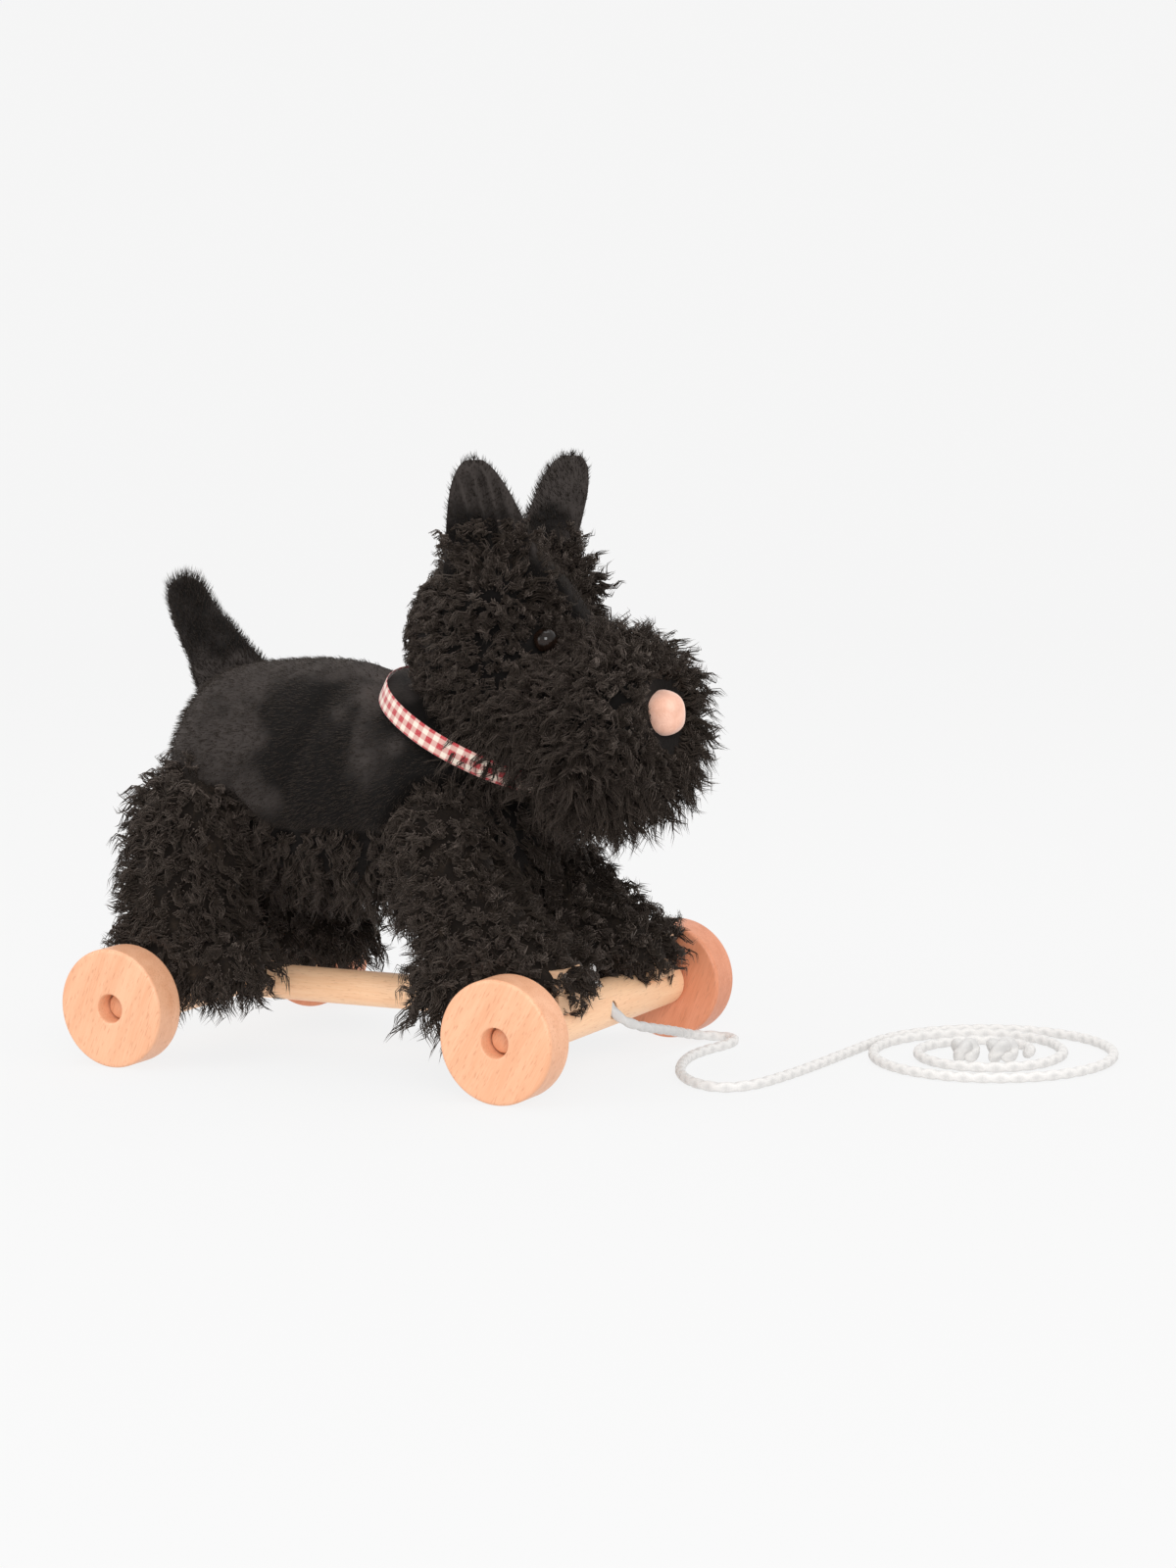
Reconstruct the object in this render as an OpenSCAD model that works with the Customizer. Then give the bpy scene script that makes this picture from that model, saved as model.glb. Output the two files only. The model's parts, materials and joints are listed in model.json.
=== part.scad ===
// Pull-along toy: a plush terrier with stitched paws fixed to a beech trolley with four turned wheels.
// Frame: millimetres, +X towards the dog's nose, +Y to its left, +Z up.
// The origin lies on the floor under the middle of the toy.

/* [Wheels] */
// Diameter of each turned wheel
wheel_d = 50; // [48:1:52]
// Thickness of each wheel
wheel_w = 16; // [14:1:16]
// Rounding of the wheel's edges
wheel_edge = 1.5; // [0.5:0.5:2]
// Diameter of the recess for the axle head
recess_d = 12; // [11.6:0.2:13]
// Depth of that recess
recess_depth = 9.5; // [9:0.5:10]
// Distance between the front and rear axles
wheelbase = 184; // [182:1:186]
// Overall width across the wheels
track_w = 164; // [164:1:168]

/* [Axle pegs] */
// Diameter of a peg's shank
peg_d = 8.5; // [8:0.1:9]
// Diameter of a peg's head
peg_head_d = 10.6; // [10:0.2:11]
// Thickness of a peg's head
peg_head_t = 2.2; // [2:0.2:2.8]
// Length of the shank that is glued into the cross bar
peg_grip = 20; // [16:1:20]
// Running clearance round the shank, on the radius
peg_gap = 0.08; // [0.04:0.01:0.1]

/* [Trolley bars] */
// Diameter of the two cross bars
bar_d = 20; // [19:0.5:21]
// Length of a cross bar
bar_len = 130; // [130:1:130]
// Diameter of the centre rail
rail_d = 15; // [14:0.5:16]
// Diameter of the rail's tenons
tenon_d = 10; // [9:0.5:10]
// Depth of a tenon in its bar
tenon_depth = 6; // [4:0.5:6]

/* [Pull cord] */
// Diameter of the braided cord
cord_d = 4.2; // [4:0.1:4.4]
// Diameter of the slanted hole in the front bar
cord_hole_d = 5.4; // [5:0.1:6]
// Radius of the flat coil on the floor
coil_r = 57; // [56:1:58]
// Radius of the clear space round the end knot
knot_space_r = 9; // [8.5:0.5:9.5]

/* [Plush body] */
// Thickness of the plush covers
cover_t = 4; // [3:0.5:5]
// Gap left between a cover and the stuffing
lining_gap = 0.2; // [0.1:0.1:0.4]
// Height of the seam between the short pile back and the curly belly
flank_seam_z = 108; // [104:1:112]
// Width of the panel along the forehead
gusset_w = 15; // [12:1:18]

/* [Collar] */
// Inside radius of the ribbon
ribbon_r = 45; // [44.5:0.5:45.5]
// Width of the ribbon
ribbon_w = 9; // [8:0.5:10]
// Thickness of the ribbon
ribbon_t = 0.6; // [0.4:0.1:0.8]

/* [Face] */
// Diameter of each bead eye
eye_d = 9; // [8:0.5:9]
// Diameter of an eye's stem
eye_stem_d = 3; // [2.5:0.5:3.5]
// Length of an eye's stem
eye_stem_len = 14; // [13:0.5:15]
// Diameter of the washer that locks an eye
washer_d = 12; // [10:1:13]

/* [Paw fixings] */
// Diameter of the screws through the bars
screw_d = 3.5; // [3:0.5:4]
// Diameter of a screw's head
screw_head_d = 7; // [6.5:0.5:7.5]
// Distance from the middle of a bar to a paw
paw_y = 42; // [41:0.5:43]

/* [Hidden] */

axle_z = wheel_d / 2;
mid_x = -12;
front_x = mid_x + wheelbase / 2;
rear_x = mid_x - wheelbase / 2;
bar_r = bar_d / 2;
peg_r = peg_d / 2;
peg_play = 0.4;
wheel_out_y = track_w / 2;
wheel_in_y = wheel_out_y - wheel_w;
recess_y = wheel_out_y - recess_depth;
leg_limit_y = wheel_in_y - 2;
round_fn = 96;
soft_fn = 22;
neck_fn = 40;
beech = "burlywood";
plush = [0.12, 0.115, 0.11];
curly = [0.18, 0.17, 0.165];

// Soft forms: each is a row of [centre, radii], and neighbouring ellipsoids are hulled together.
torso_form = [[[-78, 0, 119], [45, 43, 45]],
              [[-41, 0, 99], [58, 40, 41]],
              [[28, 0, 96], [38, 38, 39]],
              [[0, 0, 118], [46, 45, 46]],
              [[-40, 0, 121], [46, 44, 44]],
              [[-78, 0, 119], [45, 43, 45]]];
head_form = [[[40, 0, 176], [49, 43, 42]],
             [[60, 0, 160], [44, 43, 40]],
             [[83, 0, 140], [46, 44, 44]]];
tail_form = [[[-96, 0, 154], [17, 9, 16]],
             [[-103, 0, 168], [14, 8, 14]],
             [[-111, 0, 182], [11, 7, 12]],
             [[-118, 0, 193], [9, 6, 9]]];
front_leg_form = [[[26, 28, 96], [27, 26, 28]],
                  [[44, 38, 70], [29, 25, 26]],
                  [[70, 42, 48], [27, 21, 20]],
                  [[38, 42, 35], [20, 20, 20]]];
rear_leg_form = [[[-88, 34, 92], [31, 28, 30]],
                 [[-94, 40, 60], [34, 25, 26]],
                 [[-98, 42, 34], [30, 22, 19]],
                 [[-77, 42, 34], [24, 22, 19]]];
ear_form = [[[0, 0, 0], [20, 5, 14]],
            [[0, 0, 22], [17, 4.5, 12]],
            [[-1, 0, 36], [12, 4, 9]]];

// The collar's plane leans back by this angle, about this point on the neck.
collar_at = [31.6, 0, 138.4];
collar_tilt = 28;
collar_groove_r = 52;
neck_r = ribbon_r - lining_gap;

// The slanted cord hole leaves the front bar here, pointing down and forwards.
cord_mouth = [89.9, 0, 23.6];
cord_slope = 50;
cord_r = cord_d / 2;
knot_r = 5;
end_knot_r = 6;

// Centre of the flat coil and of its end knot, on the floor.
coil_at = [223, 80];
end_knot_at = [217, 66];

// The lead's route: through the bar, down beside the front wheel, round on the floor, to the coil.
route = [[79.6, 0, 35.85], [85.1, 0, 29.3], [89.9, 0, 23.6], [93.5, 2.5, 19.8], [96.5, 9, 16.8],
         [98, 20, 13.8], [98, 34, 10.4], [97, 48, 6.8], [97.6, 57.5, 4.3], [100.4, 64.5, 2.9],
         [106.3, 68, 2.2], [112.4, 65.6, 2.2], [115, 59, 2.2], [114.4, 50, 2.2], [112.2, 39, 2.2], [112, 25, 2.2],
         [116, 9, 2.2], [123, -6, 2.2], [133, -18, 2.2], [144, -24, 2.2], [153, -23, 2.2],
         [160, -13, 2.2], [164, 6, 2.2], [165.5, 28, 2.2], [165, 50, 2.2], [163.6, 74, 2.2]];
rings_per_leg = 3;
cord_sides = 8;

// Eyes: place on the face, and the way they look.
eye_at = [74, 25, 178];
eye_yaw = 50;
nose_at = [116, 0, 147.5];
nose_radii = [7, 7.5, 9];
nose_clear = 1.1;

// Ears: place of the root, lean outwards and turn about the vertical.
ear_at = [48, 22, 207];
ear_lean = 9;
ear_turn = -24;

paw_block = [24, 18, 18];
screw_head_t = 3;
screw_top_z = 46;

function bezier_point(a, b, c, d, t) =
    0.5 * (2 * b + (c - a) * t + (2 * a - 5 * b + 4 * c - d) * t * t
           + (3 * b - a - 3 * c + d) * t * t * t);
function smooth_route(p, n) =
    [for (i = [0:len(p) - 2], k = [0:n - 1])
        bezier_point(p[max(i - 1, 0)], p[i], p[i + 1], p[min(i + 2, len(p) - 1)], k / n),
     p[len(p) - 1]];
function unit(v) = v / norm(v);
function heading(p, i) = unit(p[min(i + 1, len(p) - 1)] - p[max(i - 1, 0)]);
function side_way(h) = unit(cross([0, 0, 1], h));
function ring(c, h, r) =
    let (s = side_way(h), u = cross(h, s))
    [for (k = [0:cord_sides - 1]) c + r * (cos(k * 360 / cord_sides) * s + sin(k * 360 / cord_sides) * u)];
function less(radii, g) = [radii[0] - g, radii[1] - g, radii[2] - g];

// ---- Shared shapes ----

module along_y(at, d, len) {
    translate(at) rotate([-90, 0, 0]) cylinder(d = d, h = len, $fn = round_fn);
}

module mirrored(side) {
    if (side > 0) children();
    else mirror([0, 1, 0]) children();
}

module ellipsoid(at, radii) {
    translate(at) scale(radii) sphere(1, $fn = soft_fn);
}

module chain(form, inset = 0) {
    for (i = [0:len(form) - 2])
        hull() {
            ellipsoid(form[i][0], less(form[i][1], inset));
            ellipsoid(form[i + 1][0], less(form[i + 1][1], inset));
        }
}

module at_collar() {
    translate(collar_at) rotate([0, collar_tilt, 0]) children();
}

module neck_opening() {
    low = -ribbon_w / 2 - 0.3;
    at_collar() difference() {
        translate([0, 0, low]) cylinder(r = 90, h = 120, $fn = soft_fn);
        translate([0, 0, low - 1]) cylinder(r = neck_r, h = 1 - low, $fn = neck_fn);
    }
}

module collar_groove() {
    at_collar() difference() {
        cylinder(r = collar_groove_r, h = ribbon_w + 0.6, center = true, $fn = neck_fn);
        cylinder(r = neck_r, h = ribbon_w + 2, center = true, $fn = neck_fn);
    }
}

module cut_bars(grow = 0) {
    for (x = [front_x, rear_x])
        along_y([x, -bar_len / 2 - grow, axle_z], bar_d + 2 * grow, bar_len + 2 * grow);
}

// ---- Trolley ----

module wheel_profile() {
    r = wheel_d / 2;
    bore_r = peg_r + peg_gap;
    edge_in = [for (a = [0:15:90]) [r - wheel_edge + wheel_edge * sin(a), wheel_edge - wheel_edge * cos(a)]];
    edge_out = [for (a = [0:15:90]) [r - wheel_edge + wheel_edge * cos(a), wheel_w - wheel_edge + wheel_edge * sin(a)]];
    polygon(concat([[bore_r, 0]], edge_in, edge_out,
                   [[recess_d / 2 + 0.6, wheel_w], [recess_d / 2, wheel_w - 0.6],
                    [recess_d / 2, wheel_w - recess_depth], [bore_r, wheel_w - recess_depth]]));
}

module wheel(x, side) {
    mirrored(side) translate([x, wheel_in_y, axle_z]) rotate([-90, 0, 0])
        rotate_extrude($fn = round_fn) wheel_profile();
}

module axle_peg(x, side) {
    start_y = bar_len / 2 - peg_grip;
    head_y = recess_y + peg_play;
    dome = 0.8;
    mirrored(side) translate([x, start_y, axle_z]) rotate([-90, 0, 0]) rotate_extrude($fn = round_fn)
        polygon([[0, 0], [peg_r, 0], [peg_r, head_y - start_y], [peg_head_d / 2, head_y - start_y],
                 [peg_head_d / 2, head_y - start_y + peg_head_t - dome],
                 [peg_head_d / 2 - dome, head_y - start_y + peg_head_t], [0, head_y - start_y + peg_head_t]]);
}

module bar_blank(x) {
    chamfer = 1;
    translate([x, -bar_len / 2, axle_z]) rotate([-90, 0, 0]) rotate_extrude($fn = round_fn)
        polygon([[0, 0], [bar_r - chamfer, 0], [bar_r, chamfer], [bar_r, bar_len - chamfer],
                 [bar_r - chamfer, bar_len], [0, bar_len]]);
}

module bar_end_holes(x) {
    for (y = [-bar_len / 2 - 1, bar_len / 2 - peg_grip])
        along_y([x, y, axle_z], peg_d, peg_grip + 1);
}

module screw_holes(x) {
    for (y = [-paw_y, paw_y]) translate([x, y, 0]) {
        cylinder(d = screw_d, h = axle_z + bar_r + 5, $fn = round_fn);
        cylinder(d = screw_head_d, h = axle_z - bar_r + screw_head_t, $fn = round_fn);
    }
}

module tenon(x, way) {
    reach = bar_r + 5;
    inner = bar_r - tenon_depth;
    translate([x + way * inner, 0, axle_z]) rotate([0, way * 90, 0]) cylinder(d = tenon_d, h = reach, $fn = round_fn);
}

module front_cross_bar() {
    color(beech) difference() {
        bar_blank(front_x);
        bar_end_holes(front_x);
        screw_holes(front_x);
        tenon(front_x, -1);
        translate(cord_mouth) rotate([0, cord_slope - 90, 0])
            cylinder(d = cord_hole_d, h = 60, center = true, $fn = round_fn);
    }
}

module rear_cross_bar() {
    color(beech) difference() {
        bar_blank(rear_x);
        bar_end_holes(rear_x);
        screw_holes(rear_x);
        tenon(rear_x, 1);
    }
}

module centre_rail() {
    color(beech) union() {
        difference() {
            translate([rear_x, 0, axle_z]) rotate([0, 90, 0]) cylinder(d = rail_d, h = wheelbase, $fn = round_fn);
            cut_bars();
        }
        intersection() {
            translate([rear_x, 0, axle_z]) rotate([0, 90, 0]) cylinder(d = tenon_d, h = wheelbase, $fn = round_fn);
            translate([rear_x + bar_r - tenon_depth, -bar_r, 0])
                cube([wheelbase - 2 * (bar_r - tenon_depth), bar_d, 2 * axle_z]);
        }
    }
}

module front_left_wheel() { color(beech) wheel(front_x, 1); }
module front_right_wheel() { color(beech) wheel(front_x, -1); }
module rear_left_wheel() { color(beech) wheel(rear_x, 1); }
module rear_right_wheel() { color(beech) wheel(rear_x, -1); }

module front_left_axle_peg() { color("tan") axle_peg(front_x, 1); }
module front_right_axle_peg() { color("tan") axle_peg(front_x, -1); }
module rear_left_axle_peg() { color("tan") axle_peg(rear_x, 1); }
module rear_right_axle_peg() { color("tan") axle_peg(rear_x, -1); }

module paw_block_blank(x, grow = 0) {
    size = paw_block + 2 * [grow, grow, grow];
    for (y = [-paw_y, paw_y])
        translate([x - size[0] / 2, y - size[1] / 2, axle_z + bar_r - 4 - grow]) cube(size);
}

module paw_blocks(x) {
    difference() {
        paw_block_blank(x);
        along_y([x, -bar_len / 2, axle_z], bar_d, bar_len);
        for (y = [-paw_y, paw_y]) translate([x, y, 0]) cylinder(d = screw_d, h = screw_top_z, $fn = round_fn);
    }
}

module front_paw_blocks() { color("peru") paw_blocks(front_x); }
module rear_paw_blocks() { color("peru") paw_blocks(rear_x); }

module paw_screws() {
    bottom = axle_z - bar_r;
    color("silver") for (x = [front_x, rear_x], y = [-paw_y, paw_y]) translate([x, y, bottom]) difference() {
        union() {
            cylinder(d = screw_d, h = screw_top_z - bottom, $fn = round_fn);
            translate([0, 0, 0.6]) cylinder(d = screw_head_d, h = screw_head_t - 0.6, $fn = round_fn);
        }
        for (turn = [0, 90]) rotate(turn) translate([-2, -0.4, -1]) cube([4, 0.8, 3]);
    }
}

// ---- Torso ----

module torso(inset = 0) {
    difference() {
        chain(torso_form, inset);
        neck_opening();
    }
}

module torso_shell() {
    difference() {
        torso();
        chain(torso_form, cover_t);
    }
}

module flank_side(way) {
    translate([-200, -100, way > 0 ? flank_seam_z : flank_seam_z - 200]) cube([400, 200, 200]);
}

module back_cover() {
    color(plush) intersection() {
        torso_shell();
        flank_side(1);
    }
}

module belly_cover() {
    color(curly) intersection() {
        torso_shell();
        flank_side(-1);
    }
}

module torso_stuffing() {
    color("white") torso(cover_t + lining_gap);
}

module tail() {
    color(plush) difference() {
        chain(tail_form);
        chain(torso_form);
    }
}

// ---- Head ----

module eye_frame(side) {
    mirrored(side) translate(eye_at) rotate([0, 90, eye_yaw]) children();
}

module face_clearances() {
    for (side = [-1, 1]) eye_frame(side) {
        translate([0, 0, -1.5]) cylinder(r1 = eye_d / 2 + 0.5, r2 = eye_d, h = 30, $fn = 24);
        sphere(d = eye_d + 0.6, $fn = 24);
        translate([0, 0, -eye_stem_len]) cylinder(d = eye_stem_d + 0.6, h = eye_stem_len, $fn = 24);
        translate([0, 0, 0.4 - eye_stem_len]) cylinder(d = washer_d + 0.6, h = 3, $fn = 24);
    }
    hull() for (step = [0, 24])
        translate(nose_at + [step, 0, 0]) scale(nose_radii * (nose_clear + step / 80)) sphere(1, $fn = soft_fn);
}

module head_minus(inset = 0) {
    difference() {
        chain(head_form, inset);
        torso();
        at_collar() translate([0, 0, -60 + lining_gap]) cylinder(r = neck_r + 0.05, h = 60, $fn = neck_fn);
        at_collar() translate([-200, -100, -200 + lining_gap]) cube([200, 200, 200]);
        collar_groove();
        face_clearances();
    }
}

module head_shell() {
    difference() {
        head_minus();
        chain(head_form, cover_t);
    }
}

module muzzle_side(way) {
    translate([66, 0, 150]) rotate([0, 30, 0]) translate([way > 0 ? 0 : -300, -100, -200]) cube([300, 200, 400]);
}

module gusset_strip() {
    translate([-60, -gusset_w / 2, 176]) cube([200, gusset_w, 80]);
}

module head_cover() {
    color(curly) difference() {
        intersection() {
            head_shell();
            muzzle_side(-1);
        }
        gusset_strip();
    }
}

module head_gusset() {
    color(plush) intersection() {
        head_shell();
        muzzle_side(-1);
        gusset_strip();
    }
}

module muzzle_cover() {
    color(curly) intersection() {
        head_shell();
        muzzle_side(1);
    }
}

module head_stuffing() {
    color("white") head_minus(cover_t + lining_gap);
}

module ear(side) {
    difference() {
        mirrored(side) translate(ear_at) rotate([-ear_lean, 0, ear_turn]) difference() {
            chain(ear_form);
            translate([4, 7, 22]) chain([[[0, 0, 0], [9, 4.5, 14]], [[0, 0, 10], [6, 4.5, 12]]]);
        }
        chain(head_form);
    }
}

module left_ear() { color(plush) ear(1); }
module right_ear() { color(plush) ear(-1); }

module nose() {
    color("lightpink") translate(nose_at) scale(nose_radii) sphere(1, $fn = 32);
}

module eye(side) {
    eye_frame(side) {
        sphere(d = eye_d, $fn = round_fn);
        translate([0, 0, -eye_stem_len]) cylinder(d = eye_stem_d, h = eye_stem_len, $fn = round_fn);
    }
}

module left_eye() { color("black") eye(1); }
module right_eye() { color("black") eye(-1); }

module eye_washers() {
    color("dimgray") for (side = [-1, 1]) eye_frame(side) translate([0, 0, 0.8 - eye_stem_len]) difference() {
        cylinder(d = washer_d, h = 2, $fn = round_fn);
        translate([0, 0, -1]) cylinder(d = eye_stem_d, h = 4, $fn = round_fn);
    }
}

module collar_ribbon() {
    color("indianred") at_collar() difference() {
        cylinder(r = ribbon_r + ribbon_t, h = ribbon_w, center = true, $fn = round_fn);
        cylinder(r = ribbon_r, h = ribbon_w + 2, center = true, $fn = round_fn);
    }
}

// ---- Legs ----

module leg(form, side) {
    x = form[0][0][0] > 0 ? front_x : rear_x;
    difference() {
        intersection() {
            mirrored(side) chain(form);
            translate([-200, -leg_limit_y, 0]) cube([400, 2 * leg_limit_y, 200]);
            mirrored(side) translate([-200, 0.5, 0]) cube([400, 100, 200]);
        }
        chain(torso_form);
        at_collar() translate([0, 0, -ribbon_w / 2]) cylinder(r = 90, h = 200, $fn = soft_fn);
        chain(head_form);
        cut_bars(lining_gap);
        paw_block_blank(x, lining_gap);
        translate([rear_x, 0, axle_z]) rotate([0, 90, 0])
            cylinder(d = rail_d + 2 * lining_gap, h = wheelbase, $fn = round_fn);
    }
}

module front_left_leg() { color(curly) leg(front_leg_form, 1); }
module front_right_leg() { color(curly) leg(front_leg_form, -1); }
module rear_left_leg() { color(curly) leg(rear_leg_form, 1); }
module rear_right_leg() { color(curly) leg(rear_leg_form, -1); }

// ---- Pull cord ----

module pull_cord() {
    path = smooth_route(route, rings_per_leg);
    n = len(path);
    s = cord_sides;
    points = [for (i = [0:n - 1]) each ring(path[i], heading(path, i), cord_r)];
    sides = [for (i = [0:n - 2], k = [0:s - 1])
                [i * s + k, i * s + (k + 1) % s, (i + 1) * s + (k + 1) % s, (i + 1) * s + k]];
    first_end = [[for (k = [s - 1:-1:0]) k]];
    last_end = [[for (k = [0:s - 1]) (n - 1) * s + k]];
    color("ivory") polyhedron(points, concat(sides, first_end, last_end));
}

module cord_coil() {
    color("ivory") difference() {
        translate(coil_at) cylinder(r = coil_r, h = cord_d + 0.2, $fn = round_fn);
        translate([end_knot_at[0], end_knot_at[1], -1]) cylinder(r = knot_space_r, h = cord_d + 3, $fn = round_fn);
    }
}

module cord_stopper_knot() {
    out = [-sin(90 - cord_slope), 0, cos(90 - cord_slope)];
    color("ivory") translate(route[0] + out * (knot_r + 0.05)) sphere(r = knot_r, $fn = round_fn);
}

module cord_end_knot() {
    color("ivory") translate([end_knot_at[0], end_knot_at[1], end_knot_r]) sphere(r = end_knot_r, $fn = round_fn);
}

front_cross_bar();
rear_cross_bar();
centre_rail();
front_left_wheel();
front_right_wheel();
rear_left_wheel();
rear_right_wheel();
front_left_axle_peg();
front_right_axle_peg();
rear_left_axle_peg();
rear_right_axle_peg();
front_paw_blocks();
rear_paw_blocks();
paw_screws();
back_cover();
belly_cover();
torso_stuffing();
head_cover();
head_gusset();
muzzle_cover();
head_stuffing();
left_ear();
right_ear();
tail();
front_left_leg();
front_right_leg();
rear_left_leg();
rear_right_leg();
nose();
left_eye();
right_eye();
eye_washers();
collar_ribbon();
pull_cord();
cord_coil();
cord_stopper_knot();
cord_end_knot();
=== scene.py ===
"""Looks of a pull-along toy: a plush terrier on a turned beech trolley, with a braided pull cord.

Sizes are in millimetres in the part's own frame, and become metres where a mesh is made.
+X points towards the dog's nose, +Y to its left and +Z up, with the floor at zero.
"""

import json
import logging
import math
from collections.abc import Callable
from dataclasses import dataclass
from enum import Enum

import bpy
import numpy as np
from mathutils import Matrix, Vector

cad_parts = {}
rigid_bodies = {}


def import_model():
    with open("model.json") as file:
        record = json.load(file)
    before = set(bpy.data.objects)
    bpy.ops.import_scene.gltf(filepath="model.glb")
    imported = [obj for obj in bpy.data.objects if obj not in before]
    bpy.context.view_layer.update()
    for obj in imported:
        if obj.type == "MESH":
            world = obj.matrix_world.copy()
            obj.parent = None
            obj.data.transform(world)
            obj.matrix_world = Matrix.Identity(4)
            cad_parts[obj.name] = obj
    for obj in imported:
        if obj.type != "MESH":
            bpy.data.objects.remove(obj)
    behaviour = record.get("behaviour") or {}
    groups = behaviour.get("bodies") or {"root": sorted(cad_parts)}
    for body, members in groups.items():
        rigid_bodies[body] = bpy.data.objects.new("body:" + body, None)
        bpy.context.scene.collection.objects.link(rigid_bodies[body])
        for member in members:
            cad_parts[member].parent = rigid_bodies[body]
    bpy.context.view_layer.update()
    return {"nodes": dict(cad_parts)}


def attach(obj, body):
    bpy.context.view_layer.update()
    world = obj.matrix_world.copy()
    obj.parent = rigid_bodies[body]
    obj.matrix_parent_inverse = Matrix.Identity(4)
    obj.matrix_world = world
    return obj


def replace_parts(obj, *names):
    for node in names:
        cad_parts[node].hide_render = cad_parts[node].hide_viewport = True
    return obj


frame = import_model()

MM = 0.001
LOG = logging.getLogger("toy")

# The trolley: axles, bars and rail, and the room that the pile leaves round them.
AXLE_Z = 25.0
FRONT_X = 80.0
REAR_X = -104.0
BAR_R = 10.0
RAIL_R = 7.5
PILE_GAP = 0.5
BAR_END = 65.5
WHEEL_REACH = 29.0
PILE_SIDE = 64.4
PILE_FLOOR = 3.0

# The dog's neck, eyes and nose. The eyes are given for the left side.
COLLAR_TILT = math.radians(28)
COLLAR_AT = np.array([31.6, 0.0, 138.4])
COLLAR_UP = np.array([math.sin(COLLAR_TILT), 0.0, math.cos(COLLAR_TILT)])
EYE_AT = (75.0, 25.5, 178.0)
EYE_R = 4.9
NOSE_FRONT = np.array([117, 0, 147.5])
PARTING = np.array([120, -16, 148.5])
OUT_OF_REACH = -99.0

Array = np.ndarray
Point = tuple[float, float, float]
Colour = tuple[float, float, float]
Outline = list[tuple[float, float]]
Surface = tuple[Array, list[Array]]
OfRoots = Callable[[Array, Array], Array]
OfPoints = Callable[[Array], Array]


class Side(Enum):
    """The dog's own side of a piece."""

    LEFT = 1
    RIGHT = -1

    @property
    def word(self) -> str:
        """The side's name as pieces use it."""
        return self.name.lower()

    def place(self, at: Point) -> Point:
        """A place given for the left, on this side."""
        return at[0], self.value * at[1], at[2]

    def outline(self, profile: Outline) -> Outline:
        """An outline of (radius, y) points given for the left, on this side."""
        return [(r, self.value * y) for r, y in profile]


# ---- Small numpy helpers ----


def circle(count: int) -> Array:
    """Angles of count even steps round a full turn, in radians."""
    return np.linspace(0, 2 * math.pi, count, endpoint=False)


def hump(x: Array, width: float) -> Array:
    """A bell curve: e to the power of minus (x / width) squared."""
    return np.exp(-((x / width) ** 2))


def run_length(path: Array) -> Array:
    """Length along a line of points up to each of them."""
    return np.concatenate([[0.0], np.cumsum(np.linalg.norm(np.diff(path, axis=0), axis=1))])


def smooth_step(x: Array, low: float, high: float) -> Array:
    """Rises from 0 at low to 1 at high along 3t squared minus 2t cubed.

    Args:
        x: Values to map.
        low: Where the rise starts.
        high: Where it ends.

    Returns:
        Values from 0 to 1, shaped as x.
    """
    t = np.clip((x - low) / (high - low), 0.0, 1.0)
    return t * t * (3.0 - 2.0 * t)


def unit(v: Array) -> Array:
    """Divides each vector on the last axis by its length."""
    return v / np.maximum(np.linalg.norm(v, axis=-1, keepdims=True), 1e-9)


def across(n: Array) -> tuple[Array, Array]:
    """Two unit directions square to each direction n, from cross products with a leaning axis.

    Args:
        n: Directions.

    Returns:
        The two directions for each.
    """
    helper = np.where(np.abs(n[..., 2:3]) < 0.9, np.array([0.0, 0.0, 1.0]), np.array([1.0, 0.0, 0.0]))
    a = unit(np.cross(helper, n))
    return a, np.cross(n, a)


def waves(p: Array, scale: float, seed: int) -> Array:
    """Soft lumps: the mean of six sine waves in random directions, each about scale millimetres long.

    Args:
        p: Points, with x, y and z on the last axis.
        scale: Typical wavelength.
        seed: Picks the directions.

    Returns:
        Values from about -1 to 1, one per point.
    """
    rng = np.random.default_rng(seed)
    k = unit(rng.normal(size=(6, 3))) * (2 * math.pi / scale) * rng.uniform(0.7, 1.4, (6, 1))
    return np.sin(p @ k.T + rng.uniform(0, 2 * math.pi, 6)).mean(axis=-1) * 1.8


def smooth_route(points: list[Point], per_leg: int) -> Array:
    """A Catmull-Rom curve through the points, per_leg steps to each leg.

    Args:
        points: Points that the curve goes through.
        per_leg: Steps between two of them.

    Returns:
        Points along the curve.
    """
    p = np.array(points, dtype=float)
    p = np.vstack([p[:1], p, p[-1:]])
    t = np.arange(per_leg)[:, None] / per_leg
    legs = []
    for a, b, c, d in zip(p[:-3], p[1:-2], p[2:-1], p[3:]):
        bend, swing = 2 * a - 5 * b + 4 * c - d, 3 * b - a - 3 * c + d
        legs.append(0.5 * (2 * b + (c - a) * t + bend * t**2 + swing * t**3))
    return np.vstack(legs + [p[-1:]])


def even_steps(path: Array, step: float) -> Array:
    """The same line with points every step millimetres along its length.

    Args:
        path: The line.
        step: Millimetres between its new points.

    Returns:
        The new points.
    """
    s = run_length(path)
    at = np.linspace(0.0, s[-1], max(int(s[-1] / step), 2) + 1)
    return np.stack([np.interp(at, s, path[:, i]) for i in range(3)], axis=1)


# ---- Meshes ----


def link(name: str, data: bpy.types.ID) -> bpy.types.Object:
    """Puts a new object with this mesh, camera or light into the scene.

    Args:
        name: Object name.
        data: What the object shows.

    Returns:
        The object.
    """
    obj = bpy.data.objects.new(name, data)
    bpy.context.scene.collection.objects.link(obj)
    return obj


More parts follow.
